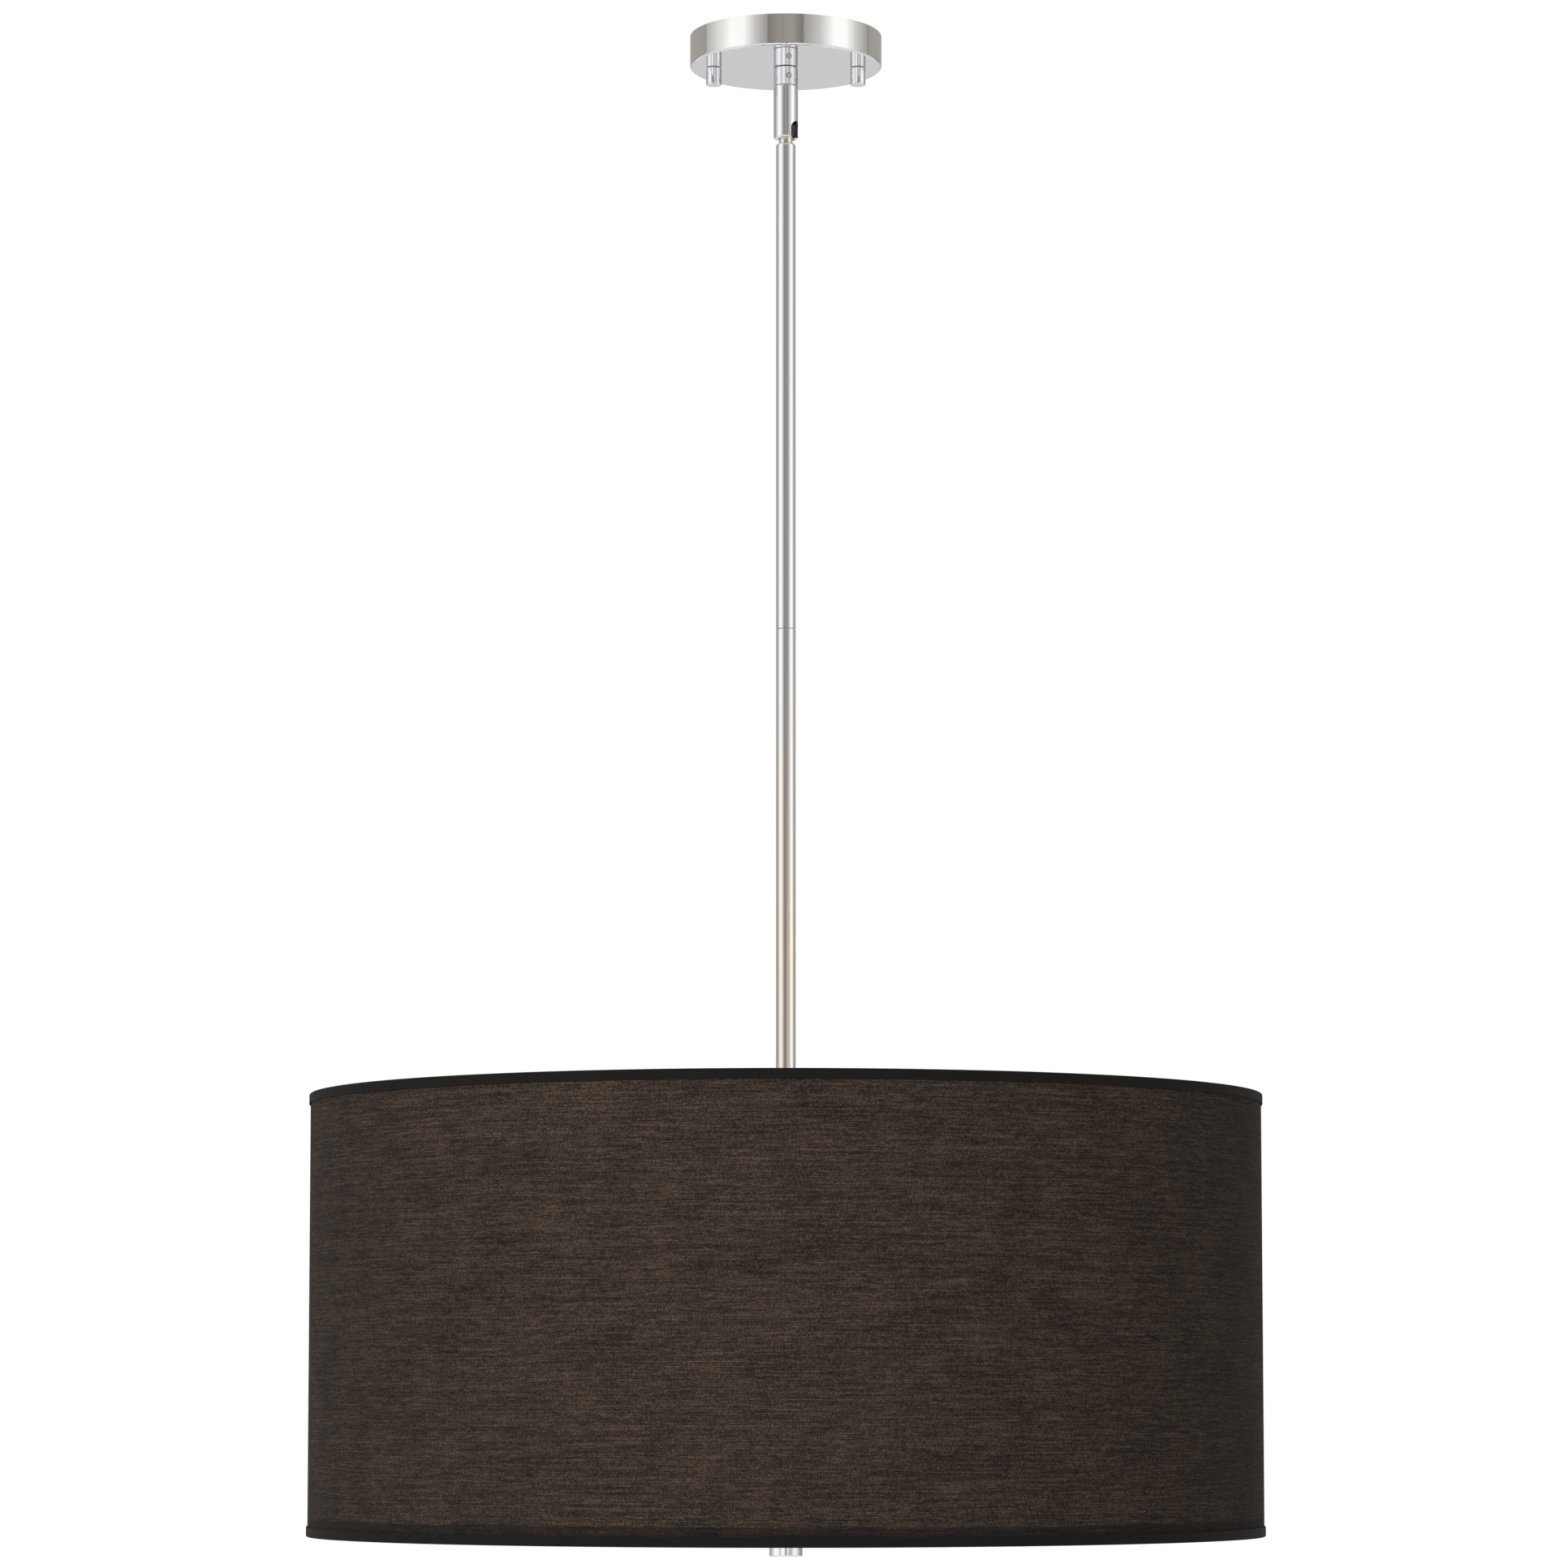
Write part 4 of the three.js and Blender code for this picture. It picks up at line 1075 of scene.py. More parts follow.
def make_canopy():
    sizes = setting("canopy")
    swivel = setting("swivel")
    hole = swivel.pipe_hole
    pan = Span("canopy")
    floor = pan.bottom + sizes.wall
    inner = pan.radius - sizes.wall
    outline = rounded([
        (hole, pan.bottom),
        (pan.radius, pan.bottom, sizes.edge),
        (pan.radius, pan.top, EASED_EDGE),
        (inner, pan.top, EASED_EDGE),
        (inner, floor, sizes.inner_edge),
        (hole, floor),
    ], FINE_FILLET_STEPS)
    made = turned("canopy_finished", outline, PAN_STEPS)
    drills = []
    for side in SIDES:
        stud = Span("mount_stud_" + side)
        path = [(stud.x, stud.y, pan.bottom - OVERRUN), (stud.x, stud.y, floor + OVERRUN)]
        drills.append(swept("drill", path, stud.radius + setting("fixings").stud_gap, SMALL_STEPS))
    fit(cut_away(made, *drills), "canopy")
    sleeve_piece("canopy_washer", hole, BROKEN_EDGE)
    nut_piece("nipple_locknut", swivel.pipe_flats, hole)


# Swivel

def make_swivel_nipple():
    sizes = setting("swivel")
    nipple = Span("swivel_nipple")
    flange_top = nipple.bottom + sizes.flange
    outline = threaded_outline(sizes.pipe_radius, sizes.pipe_bore, nipple.top, flange_top, sizes.pipe_pitch)
    outline[0:1] = rounded([
        (sizes.pipe_bore, nipple.bottom),
        (nipple.radius, nipple.bottom, EASED_EDGE),
        (nipple.radius, flange_top, EASED_EDGE),
    ])
    shape = thread(sizes.pipe_radius, sizes.pipe_pitch, sizes.pipe_thread, nipple.top, flange_top)
    turn_piece("swivel_nipple", outline, SMALL_STEPS, shape=shape)
    keep("thrust_washer")


def make_collar():
    sizes = setting("swivel")
    collar = Span("swivel_collar")
    way = Vector((math.sin(sizes.screw_azimuth), -math.cos(sizes.screw_azimuth), 0))
    up = Vector((0, 0, Span("canopy").bottom - sizes.screw_drop))
    through = collar.radius + OVERRUN

    def bar(name, radius, start, end, sides=SMALL_STEPS):
        """A bar along the set screw's axis."""
        return swept(name, [way * start + up, way * end + up], radius, sides)

    outline = sleeve(collar.radius, sizes.pipe_hole, collar.top, collar.bottom, sizes.ring_edge)
    ring = turned("swivel_collar_finished", outline, ROD_STEPS)
    drill = bar("drill", sizes.screw_radius + sizes.screw_gap, 0, through)
    fit(cut_away(ring, drill), "swivel_collar")
    screw = bar("collar_set_screw_finished", sizes.screw_radius, sizes.pipe_hole, collar.radius)
    key = bar("key", sizes.key_radius, collar.radius - sizes.key_depth, through, KEY_SIDES)
    fit(cut_away(screw, key), "collar_set_screw")


def make_housing():
    sizes = setting("swivel")
    housing = Span("swivel_housing")
    ball = housing.bottom + sizes.ball_rise
    seat = sizes.ball_radius + sizes.ball_gap
    seat_end = -math.acos(sizes.slot_radius / seat)
    seat_arc = arc(0, ball, seat, 0, seat_end, SEAT_STEPS)
    web = housing.top - sizes.web
    outline = rounded([
        (sizes.slot_radius, housing.bottom),
        (housing.radius, housing.bottom, sizes.foot),
        (housing.radius, housing.top, sizes.ring_edge),
        (sizes.pipe_hole, housing.top),
        (sizes.pipe_hole, web),
        (seat, web),
    ], FINE_FILLET_STEPS) + seat_arc
    shell = turned("swivel_housing_finished", outline, PAN_STEPS)
    fit(cut_away(shell, make_slot()), "swivel_housing")
    # A thin dark shell inside the seat, which is painted shade in the hollow round the ball
    inner = seat - sizes.shade_lining
    inner_end = -math.acos(sizes.slot_radius / inner)
    outline = [(seat, web)] + seat_arc + arc(0, ball, inner, inner_end, 0, SEAT_STEPS) + [(inner, web)]
    shade_lining = turned("swivel_housing_shade_lining", outline, PAN_STEPS)
    fit(cut_away(shade_lining, make_slot()), "swivel_housing", "phenolic")


def make_slot():
    """A tool in the shape of the housing's slot, which is open at the foot and round at the top."""
    sizes = setting("swivel")
    housing = Span("swivel_housing")
    half = sizes.slot_radius
    below = housing.bottom - OVERRUN
    window = [(-half, below), (half, below)]
    window += arc(0, housing.bottom + sizes.ball_rise, half, 0, math.pi, SMALL_STEPS // 2)
    slot = prism("slot", window, 0, housing.radius + OVERRUN)
    slot.data.transform(Matrix.Rotation(sizes.slot_azimuth, 4, "Z"))
    return slot


def make_ball_stud():
    """A chrome barrel like the rods, a nickel neck, and a ball in a dark finish that is painted shade in
    the housing's hollow.
    """
    sizes = setting("swivel")
    stud = Span("ball_stud")
    barrel = Span("upper_rod").radius
    ball = Span("swivel_housing").bottom + sizes.ball_rise
    shoulder = Span("swivel_housing").bottom - sizes.neck_shown
    socket_top = stud.bottom + sizes.stud_socket
    outline = rounded([
        (sizes.wire_bore, shoulder),
        (sizes.wire_bore, socket_top),
        (sizes.pipe_hole, socket_top),
        (sizes.pipe_hole, stud.bottom),
        (barrel, stud.bottom),
        (barrel, shoulder, sizes.shoulder),
    ], SHOWN_FILLET_STEPS)
    turn_piece("ball_stud", outline, ending="_barrel", slot="chrome")
    top_angle = math.acos(sizes.wire_bore / sizes.ball_radius)
    neck_angle = -math.acos(sizes.neck_radius / sizes.ball_radius)
    sphere = arc(0, ball, sizes.ball_radius, neck_angle, top_angle, BALL_STEPS)
    neck_top = sphere[0][1]
    outline = sleeve(sizes.neck_radius, sizes.wire_bore, neck_top, shoulder)
    turn_piece("ball_stud", outline, ending="_neck")
    # The ball gets the dark phenolic finish as painted shade in the housing's hollow
    turn_piece("ball_stud", [(sizes.wire_bore, neck_top)] + sphere, ending="_ball", slot="phenolic")


# Rods

def make_rods():
    sizes = setting("rods")
    upper = Span("upper_rod")
    top = Span("ball_stud").bottom - sizes.top_gap
    mark = upper.bottom + sizes.mark_rise
    half = sizes.mark_width / 2
    outline = rounded([
        (sizes.bore, upper.bottom),
        (upper.radius, upper.bottom, sizes.end_edge),
        (upper.radius, mark - half),
        (upper.radius - sizes.mark_depth, mark),
        (upper.radius, mark + half),
        (upper.radius, top),
        (sizes.bore, top),
    ])
    turn_piece("upper_rod", outline)
    sleeve_piece("lower_rod", sizes.bore, sizes.end_edge)
    keep("stud_nipple", "rod_coupler", "cluster_nipple", "stem_cord")


# Shade

def make_spider():
    """The hub, three arms that rise to the top ring, and the welds that hold them to it."""
    sizes = setting("shade")
    hole = setting("swivel").pipe_hole
    sleeve_piece("hub_washer", hole, EASED_EDGE)
    spider = Span("shade_spider")
    low_ring = Span("bottom_ring")
    wire = sizes.wire
    ring_radius = low_ring.radius - wire
    ring_height = spider.top - wire
    bm = bmesh.new()
    add_turned(bm, circle(ring_radius, ring_height, wire, WIRE_STEPS), DRUM_STEPS)
    hub = sleeve(sizes.hub_radius, hole, spider.bottom + sizes.hub_depth, spider.bottom, sizes.hub_edge)
    add_turned(bm, hub, ROD_STEPS)
    level = Vector((0, 0, spider.bottom + wire))
    rise = Vector((0, 0, ring_height - spider.bottom - wire))
    bend = ((sizes.bend_start, 0), (sizes.bend_middle, BEND_SHARE), (0, ARM_TOP_SHARE))
    for k in range(SPIDER_ARMS):
        angle = math.pi / 2 + k * FULL_TURN / SPIDER_ARMS
        way = Vector((math.cos(angle), math.sin(angle), 0))
        path = [way * (sizes.hub_radius * ARM_START_SHARE) + level]
        path += [way * (ring_radius - inset) + level + rise * share for inset, share in bend]
        add_swept(bm, path, wire, WIRE_STEPS)
        ends = (ring_radius - sizes.weld_in, ring_radius + sizes.weld_out)
        add_swept(bm, [way * end + level + rise * WELD_SHARE for end in ends], wire, WIRE_STEPS)
    fit(add_object("shade_spider_finished", bm), "shade_spider")
    turn_piece("bottom_ring", circle(ring_radius, low_ring.bottom + wire, wire, WIRE_STEPS), DRUM_STEPS)


def make_liner():
    inside = Span("shade_liner").radius - setting("shade").liner
    sleeve_piece("shade_liner", inside, steps=DRUM_STEPS)


def make_cloth(name):
    """The drum's fabric: one strip bent round the liner, whose ends lap at the back."""
    sizes = setting("shade")
    drum = Span("shade_fabric")
    height = drum.top - drum.bottom
    middle = drum.radius - CLOTH_INSET
    start = math.pi / 2 - sizes.lap / middle / 2
    sweep = FULL_TURN + sizes.lap / middle
    strip = sweep * middle
    bm = bmesh.new()
    sections = []
    for k in range(DRUM_STEPS + 1):
        angle = start + sweep * k / DRUM_STEPS
        from_start = strip * k / DRUM_STEPS
        sink, rise = (
            max(0, 1 - max(0, from_end - sizes.lap) / sizes.lap_run)
            for from_end in (from_start, strip - from_start)
        )
        radius = middle + (rise - sink) * (sizes.cloth / 2 + sizes.lap_air)
        section = []
        for side, rows in ((1, range(CLOTH_ROWS + 1)), (-1, range(CLOTH_ROWS, -1, -1))):
            reach = radius + side * sizes.cloth / 2
            for row in rows:
                z = drum.bottom + height * row / CLOTH_ROWS
                section.append(bm.verts.new((reach * math.cos(angle), reach * math.sin(angle), z)))
        sections.append(section)
    for first, second in zip(sections, sections[1:]):
        bridge(bm, first, second)
    bm.faces.new(sections[0])
    bm.faces.new(sections[-1])
    return add_object(name, bm), (height, strip)


def make_hem(node, inward):
    """Tape folded over an edge of the drum: inward is -1 at the top edge and 1 at the bottom edge."""
    sizes = setting("shade")
    hem = Span(node)
    edge = hem.top if inward < 0 else hem.bottom
    outer = hem.radius - sizes.hem
    inner = Span("bottom_ring").radius - 2 * sizes.wire - sizes.hem_gap
    lip = edge + inward * (hem.top - hem.bottom)
    fold = edge + inward * sizes.hem_fold
    inside = edge + inward * sizes.hem
    outline = rounded([
        (hem.radius, lip, BROKEN_EDGE),
        (hem.radius, edge, sizes.hem_edge),
        (inner - sizes.hem, edge, sizes.hem_edge),
        (inner - sizes.hem, fold, BROKEN_EDGE),
        (inner, fold, BROKEN_EDGE),
        (inner, inside, sizes.hem_crease),
        (outer, inside, sizes.hem_crease),
        (outer, lip, BROKEN_EDGE),
    ])
    return turn_piece(node, outline, DRUM_STEPS)


def make_shade_cover():
    cloth, flat = make_cloth("shade_fabric_finished")
    fit(cloth, "shade_fabric")
    hems = [make_hem("top_hem", -1), make_hem("bottom_hem", 1)]


# Lamps

def lamp_place(number):
    """The middle of a lamp in plan."""
    socket = Span(f"lamp_socket_{number}")
    return Vector((socket.x, socket.y, 0))


def make_cluster():
    sizes = setting("lamps")
    pipe_hole = setting("swivel").pipe_hole
    body = Span("cluster_body")
    inner = body.radius - sizes.body_wall
    roof = body.top - sizes.body_wall
    outline = rounded([
        (pipe_hole, body.top),
        (body.radius, body.top, sizes.body_edge),
        (body.radius, body.bottom, BROKEN_EDGE),
        (inner, body.bottom, BROKEN_EDGE),
        (inner, roof),
        (pipe_hole, roof),
    ])
    made = turned("cluster_body_finished", outline, PAN_STEPS)
    drills = []
    height = Vector((0, 0, Span("socket_arm_1").top - sizes.arm_radius))
    for number in LAMPS:
        way = lamp_place(number).normalized()
        path = [way * sizes.arm_start + height, way * (body.radius + OVERRUN) + height]
        drills.append(swept("drill", path, sizes.arm_radius + sizes.arm_gap, SMALL_STEPS))
    fit(cut_away(made, *drills), "cluster_body")
    keep("cluster_nut")


def make_cluster_cover():
    sizes = setting("lamps")
    cover = Span("cluster_cover")
    hole = Span("centre_rod").radius + setting("finial").rod_gap
    plate_top = cover.bottom + sizes.cover_plate
    lip = Span("cluster_body").radius - sizes.body_wall - sizes.cover_gap
    outline = rounded([
        (hole, cover.bottom),
        (cover.radius, cover.bottom, sizes.cover_edge),
        (cover.radius, plate_top, EASED_EDGE),
        (lip, plate_top),
        (lip, cover.top, BROKEN_EDGE),
        (lip - sizes.cover_lip, cover.top, BROKEN_EDGE),
        (lip - sizes.cover_lip, plate_top),
        (hole, plate_top),
    ])
    turn_piece("cluster_cover", outline, PAN_STEPS)


def make_arm(number):
    sizes = setting("lamps")
    node = f"socket_arm_{number}"
    arm = Span(node)
    lamp = lamp_place(number)
    way = lamp.normalized()
    up = Vector((0, 0, 1))
    height = up * (arm.top - sizes.arm_radius)
    corner = lamp + height
    bend = [corner - way * sizes.arm_bend, corner, corner - up * sizes.arm_bend]
    path = [way * sizes.arm_start + height, *bent(bend, BEND_STEPS), lamp + up * arm.bottom]
    fit(swept(node + "_finished", path, sizes.arm_radius, SMALL_STEPS, sizes.arm_bore), node)


def make_socket(number):
    sizes = setting("lamps")
    node = f"lamp_socket_{number}"
    socket = Span(node)
    outer = sizes.socket_radius
    mouth = outer - sizes.socket_wall
    hole = sizes.arm_radius + sizes.arm_gap
    cavity = socket.bottom + sizes.socket_depth
    groove = cavity + sizes.groove_rise
    groove_top = groove + sizes.groove_width
    outline = rounded([
        (hole, socket.top, EASED_EDGE),
        (outer - sizes.socket_chamfer, socket.top, sizes.socket_edge),
        (outer, socket.top - sizes.socket_chamfer, sizes.socket_edge),
        (outer, groove_top, BROKEN_EDGE),
        (outer - sizes.groove_depth, groove_top - sizes.groove_slope),
        (outer - sizes.groove_depth, groove + sizes.groove_slope),
        (outer, groove, BROKEN_EDGE),
        (outer, socket.bottom, sizes.socket_foot),
        (mouth, socket.bottom, sizes.socket_mouth),
        (mouth, cavity),
        (hole, cavity),
    ])
    turn_piece(node, outline, at=socket)


def make_bulb(number):
    sizes = setting("lamps")
    node = f"bulb_{number}"
    bulb = Span(node)
    glass_top = Span(f"lamp_socket_{number}").bottom - sizes.base_shown
    base = sizes.base_radius
    radius = sizes.bulb_radius
    belly = bulb.bottom + radius
    pull = (glass_top - belly) * NECK_PULL_SHARE
    neck = [(base, glass_top), (base, glass_top - pull), (radius, belly + pull), (radius, belly)]
    bottom = arc(0, belly, radius, 0, -math.pi / 2, BELLY_STEPS)[1:-1]
    outline = [(0, glass_top), *bent(neck, NECK_STEPS), *bottom, (0, bulb.bottom)]
    turn_piece(node, outline, at=bulb, ending="_glass")
    shoulder = bulb.top - sizes.contact_height
    collar = glass_top + sizes.base_shown + sizes.base_plain
    screw = threaded_outline(base, 0, shoulder, collar, sizes.base_pitch)
    contact = rounded([
        (sizes.contact_radius, shoulder),
        (sizes.contact_radius, bulb.top, sizes.contact_edge),
        (0, bulb.top),
    ])
    outline = [(0, glass_top), (base, glass_top), *screw[1:-1], *contact]
    wound = thread(base, sizes.base_pitch, sizes.base_thread, shoulder, collar)

    def base_shape(r, z, angle):
        return wound(r, z, angle) if z > collar else r
    turn_piece(node, outline, SMALL_STEPS, bulb, base_shape, "_base", "satin_nickel")


# Centre rod, diffuser and finial

def make_centre_rod():
    sizes = setting("finial")
    hole = Span("centre_rod").radius + sizes.rod_gap
    threaded_piece("centre_rod", sizes.rod_pitch, sizes.rod_thread)
    keep("rod_nut_upper")
    for node in ("rod_nut_lower", "stop_nut"):
        nut_piece(node, sizes.nut_flats, hole)
    for node in ("stop_washer", "finial_washer"):
        sleeve_piece(node, hole, sizes.washer_edge)


def make_diffuser():
    sizes = setting("finial")
    hole = Span("centre_rod").radius + sizes.rod_gap
    sleeve_piece("diffuser", hole, sizes.diffuser_edge, DRUM_STEPS)


def make_finial():
    sizes = setting("finial")
    knob = Span("finial")
    hole = Span("centre_rod").radius + sizes.rod_gap
    bore = knob.top - sizes.finial_bore
    outline = rounded([
        (0, knob.bottom),
        (knob.radius, knob.bottom, sizes.finial_edge),
        (knob.radius, knob.top, EASED_EDGE),
        (hole, knob.top),
        (hole, bore),
        (0, bore),
    ], SHOWN_FILLET_STEPS)
    turn_piece("finial", outline)


# Wiring in the canopy

def make_wiring():
    """Three leads that rise out of the pipe: two to their wire nuts and one to the ground screw."""
    sizes = setting("wiring")
    swivel = setting("swivel")
    top = Span("swivel_nipple").top
    foot = Span("swivel_housing").bottom + swivel.ball_rise + swivel.ball_radius + sizes.lead_foot
    wire = sizes.wire
    crest = top + sizes.lead_crest

    def in_pipe(direction):
        """The stretch of a lead in the pipe, by its direction from the pipe's axis."""
        x, y = (sizes.lead_circle * part for part in (math.cos(direction), math.sin(direction)))
        return [(x, y, z) for z in (foot, (foot + top) / 2, top, top + 2 * wire)]

    for name, side in (("hot", 1), ("neutral", -1)):
        low, high = box_of("wire_nut_" + name)
        centre = (low + high) / 2
        mouth = low.y if side > 0 else high.y
        path = in_pipe(side * math.pi / 3) + [
            (sizes.lead_spread, side * sizes.lead_spread, crest),
            (centre.x, mouth - side * sizes.lead_turn, (crest + centre.z) / 2),
            (centre.x, mouth - side * sizes.lead_straight, centre.z),
            (centre.x, mouth + side * sizes.lead_in_nut, centre.z),
        ]
        node = "canopy_lead_" + name
        fit(swept(node + "_finished", eased(path), wire, WIRE_STEPS), node)
        make_wire_nut(name, Vector((centre.x, mouth, centre.z)), side, high.y - low.y)
    head = Span("ground_screw")
    end = head.x + head.radius + sizes.ground_gap
    head_middle = head.bottom + setting("fixings").ground_head / 2
    path = in_pipe(math.pi) + [
        (-sizes.lead_spread, 0, (crest + top) / 2),
        (end + 2 * wire, 0, head_middle),
        (end, 0, head_middle),
    ]
    fit(swept("ground_lead_finished", eased(path), wire, WIRE_STEPS), "ground_lead")


def make_wire_nut(name, mouth, side, nut_length):
    """A tapered plastic cap with ribs, whose mouth faces the middle of the canopy."""
    sizes = setting("wiring")
    ribs_start = nut_length * RIBS_START_SHARE
    outline = rounded([
        (0, sizes.cap_bore_depth),
        (sizes.cap_bore, sizes.cap_bore_depth),
        (sizes.cap_bore, 0),
        (sizes.cap_radius, 0, sizes.cap_lip),
        (sizes.cap_radius - sizes.cap_taper, ribs_start),
        (sizes.cap_tip + sizes.cap_tip_flare, nut_length * TIP_START_SHARE),
        (sizes.cap_tip, nut_length, sizes.cap_tip_edge),
        (0, nut_length),
    ])

    def ribs(r, z, angle):
        ribbed = z > ribs_start and r > sizes.cap_bore + CLOSE
        return r * (1 - RIB_SHARE * abs(math.sin(RIBS / 2 * angle))) if ribbed else r
    nut = turned(f"wire_nut_{name}_finished", outline, ROD_STEPS, shape=ribs)
    lay_down = Matrix.Rotation(-side * math.pi / 2, 4, "X")
    nut.data.transform(Matrix.Translation(mouth) @ lay_down)
    fit(nut, "wire_nut_" + name)


# Stage

FLOOR_GLOW = 0.42
# Distances from the axis in metres between which the floor fades to the background
FADE_START = 2.0
FADE_END = 8.0


def make_floor():
    """A pale round floor that fades to the background, holds a soft shadow and is clear from below."""
    studio = setting("studio")
    bm = bmesh.new()
    bmesh.ops.create_circle(bm, cap_ends=True, segments=STAGE_STEPS, radius=studio.floor_radius)
    bmesh.ops.translate(bm, verts=bm.verts, vec=(0, 0, -studio.floor_drop))
    floor = add_object("floor", bm)
    made = Recipe("floor_paint")
    reach = made.node("VectorMath", {0: made.stretched((1, 1, 0))}, operation="LENGTH").outputs["Value"]
    seen = seen_directly(made)
    made.set(
        Base_Color=made.mottle(made.noise(scale=3, detail=4), (0.86, 0.86, 0.855), (0.9, 0.9, 0.895)),
        Roughness=0.8,
        Emission_Color=WHITE,
        Emission_Strength=made.calc("MULTIPLY", seen, FLOOR_GLOW),
    )
    plain = made.node("Emission", {"Color": WHITE, "Strength": seen})
    fade = made.span(reach, FADE_START, FADE_END, kind="SMOOTHSTEP")
    joined = made.node("MixShader", {0: fade, 1: made.shader.outputs[0], 2: plain.outputs[0]})
    underside = made.node("NewGeometry").outputs["Backfacing"]
    clear = made.node("BsdfTransparent")
    made.show(made.node("MixShader", {0: underside, 1: joined.outputs[0], 2: clear.outputs[0]}))
    floor.data.materials.append(made.material)


def seen_directly(made):
    """1 for what the camera sees itself, in metal or through glass, and 0 for soft light."""
    ray = made.node("LightPath").outputs
    seen = made.calc("MAXIMUM", ray["Is Camera Ray"], ray["Is Glossy Ray"])
    return made.calc("MAXIMUM", seen, ray["Is Transmission Ray"])


# What the metal reflects, as screen tones by degrees from the front towards the right: at three heights
PANELS_HIGH = (
    (-180, 0.62), (-113, 0.6), (-111, 0.68), (-80, 0.91), (-70, 1), (-52, 0.99), (-36, 0.76),
    (-22.5, 0.6), (-21, 0.48), (-9, 0.56), (8, 0.59), (20, 0.46), (22.5, 0.62), (41, 0.77),
    (60, 1), (76, 1), (95, 0.77), (116, 0.6), (180, 0.62),
)
PANELS_LOW = (
    (-180, 0.78), (-160, 0.76), (-140, 0.46), (-112, 0.47), (-60, 0.86), (-50, 0.85), (-20, 0.56),
    (-12, 0.42), (-1, 0.43), (8, 0.62), (15, 0.9), (24, 0.86), (32, 0.66), (42, 0.66),
    (67, 0.96), (77, 0.95), (98, 0.65), (140, 0.42), (160, 0.76), (180, 0.78),
)
PANELS_NEAR_FLOOR = (
    (-180, 0.78), (-160, 0.76), (-150, 0.62), (-116, 0.7), (-85, 0.98), (-57, 0.98), (-40, 0.77),
    (-26, 1), (-11, 0.97), (0, 0.5), (11, 0.94), (31, 0.65), (55, 0.94), (75, 0.95),
    (110, 0.62), (150, 0.52), (160, 0.76), (180, 0.78),
)
# Thin dark gaps between the panels: degrees, half width in degrees, share of light left, top in metres
PANEL_GAPS = ((-112, 0.8, 0.55, 5), (117, 0.8, 0.55, 5), (-4, 0.6, 0.8, 5), (1, 1.6, 0.35, 0.35))
GAP_CORE_SHARE = 0.4
# Heights in metres at which the panels change, and over how much of the height they do
NEAR_FLOOR_FROM = -1.08
NEAR_FLOOR_BLEND = 0.15
LOW_FROM = -1.2
COOL_FROM = -0.9
WARM_FROM = -0.1
HIGH_FROM = 0.4
CEILING_FROM = 1.44
CEILING_BLEND = 0.05
GAP_BLEND = 0.2
# Tints of the panels, of which the warm one is strongest at the height of the rods
COOL_TINT = (0.97, 1, 1.03)
WARM_TINT = (1.12, 1, 0.86)
CEILING_TINT = (1.02, 1, 0.95)
PLAIN_TINT = (1, 1, 1)
# Darker panels are warmer, up to this share, and fully so when they are this much under the limit
DARK_WARMTH = 0.06
DARK_LIMIT = 0.75
DARK_REACH = 0.2
CHROME_SHARE = 0.86
PANEL_LIFT = 50 * MM


def panel_ramp(made, share, table):
    """The panels of one height as a colour ramp, with the darker ones a little warm."""
    ramp = made.node("ValToRGB", {0: share})
    stops = ramp.color_ramp.elements
    while len(stops) < len(table):
        stops.new(0.5)
    for stop, (degrees, tone) in zip(stops, table):
        light = screen_to_light(tone) / CHROME_SHARE
        warmth = DARK_WARMTH * min(1, max(0, (DARK_LIMIT - tone) / DARK_REACH))
        stop.position = (degrees + 180) / 360
        stop.color = (light * (1 + warmth), light, light * (1 - warmth), 1)
    return ramp.outputs[0]


def panel_light(made):
    """The colour and the strength of the panels' light."""
    angle, height = made.round_about()
    degrees = made.calc("MULTIPLY", angle, 180 / math.pi)
    share = made.span(degrees, -180.0, 180.0)
    tables = (PANELS_HIGH, PANELS_LOW, PANELS_NEAR_FLOOR)
    high, low, near_floor = (panel_ramp(made, share, table) for table in tables)
    light = made.mix(made.span(height, LOW_FROM, HIGH_FROM), low, high)
    warm = made.mix(made.span(height, WARM_FROM, HIGH_FROM), WARM_TINT, PLAIN_TINT)
    tint = made.mix(made.span(height, COOL_FROM, WARM_FROM), COOL_TINT, warm)
    near_ceiling = made.span(height, CEILING_FROM, CEILING_FROM + CEILING_BLEND)
    light = made.multiply(made.multiply(light, tint), made.mix(near_ceiling, PLAIN_TINT, CEILING_TINT))
    above_floor = made.span(height, NEAR_FLOOR_FROM, NEAR_FLOOR_FROM + NEAR_FLOOR_BLEND)
    light = made.mix(above_floor, near_floor, light)
    strength = 1.0
    for middle, half, left, top in PANEL_GAPS:
        off = made.calc("ABSOLUTE", made.calc("SUBTRACT", degrees, float(middle)))
        across = made.span(off, half * GAP_CORE_SHARE, half, left, 1.0)
        up = made.span(height, top - GAP_BLEND, top + GAP_BLEND)
        kept = made.calc("ADD", across, made.calc("MULTIPLY", up, made.calc("SUBTRACT", 1.0, across)))
        strength = made.calc("MULTIPLY", kept, strength)
    return light, strength


def make_panels():
    """A ring of soft panels and grey flags that only polished surfaces see."""
    studio = setting("studio")
    bm = bmesh.new()
    plan = circle(0, 0, studio.wall_radius, STAGE_STEPS)
    heights = (PANEL_LIFT - studio.floor_drop, studio.wall_top)
    rings = [[bm.verts.new((x, y, height)) for x, y in plan] for height in heights]
    bridge(bm, *rings)
    ring = add_object("panel_ring", bm)
    made = Recipe("panel_light")
    light, strength = panel_light(made)
    made.show(made.node("Emission", {"Color": light, "Strength": strength}))
    made.tree.nodes.remove(made.shader)
    ring.data.materials.append(made.material)
    ring.visible_camera = False
    ring.visible_diffuse = False
    ring.visible_transmission = False
    ring.visible_shadow = False


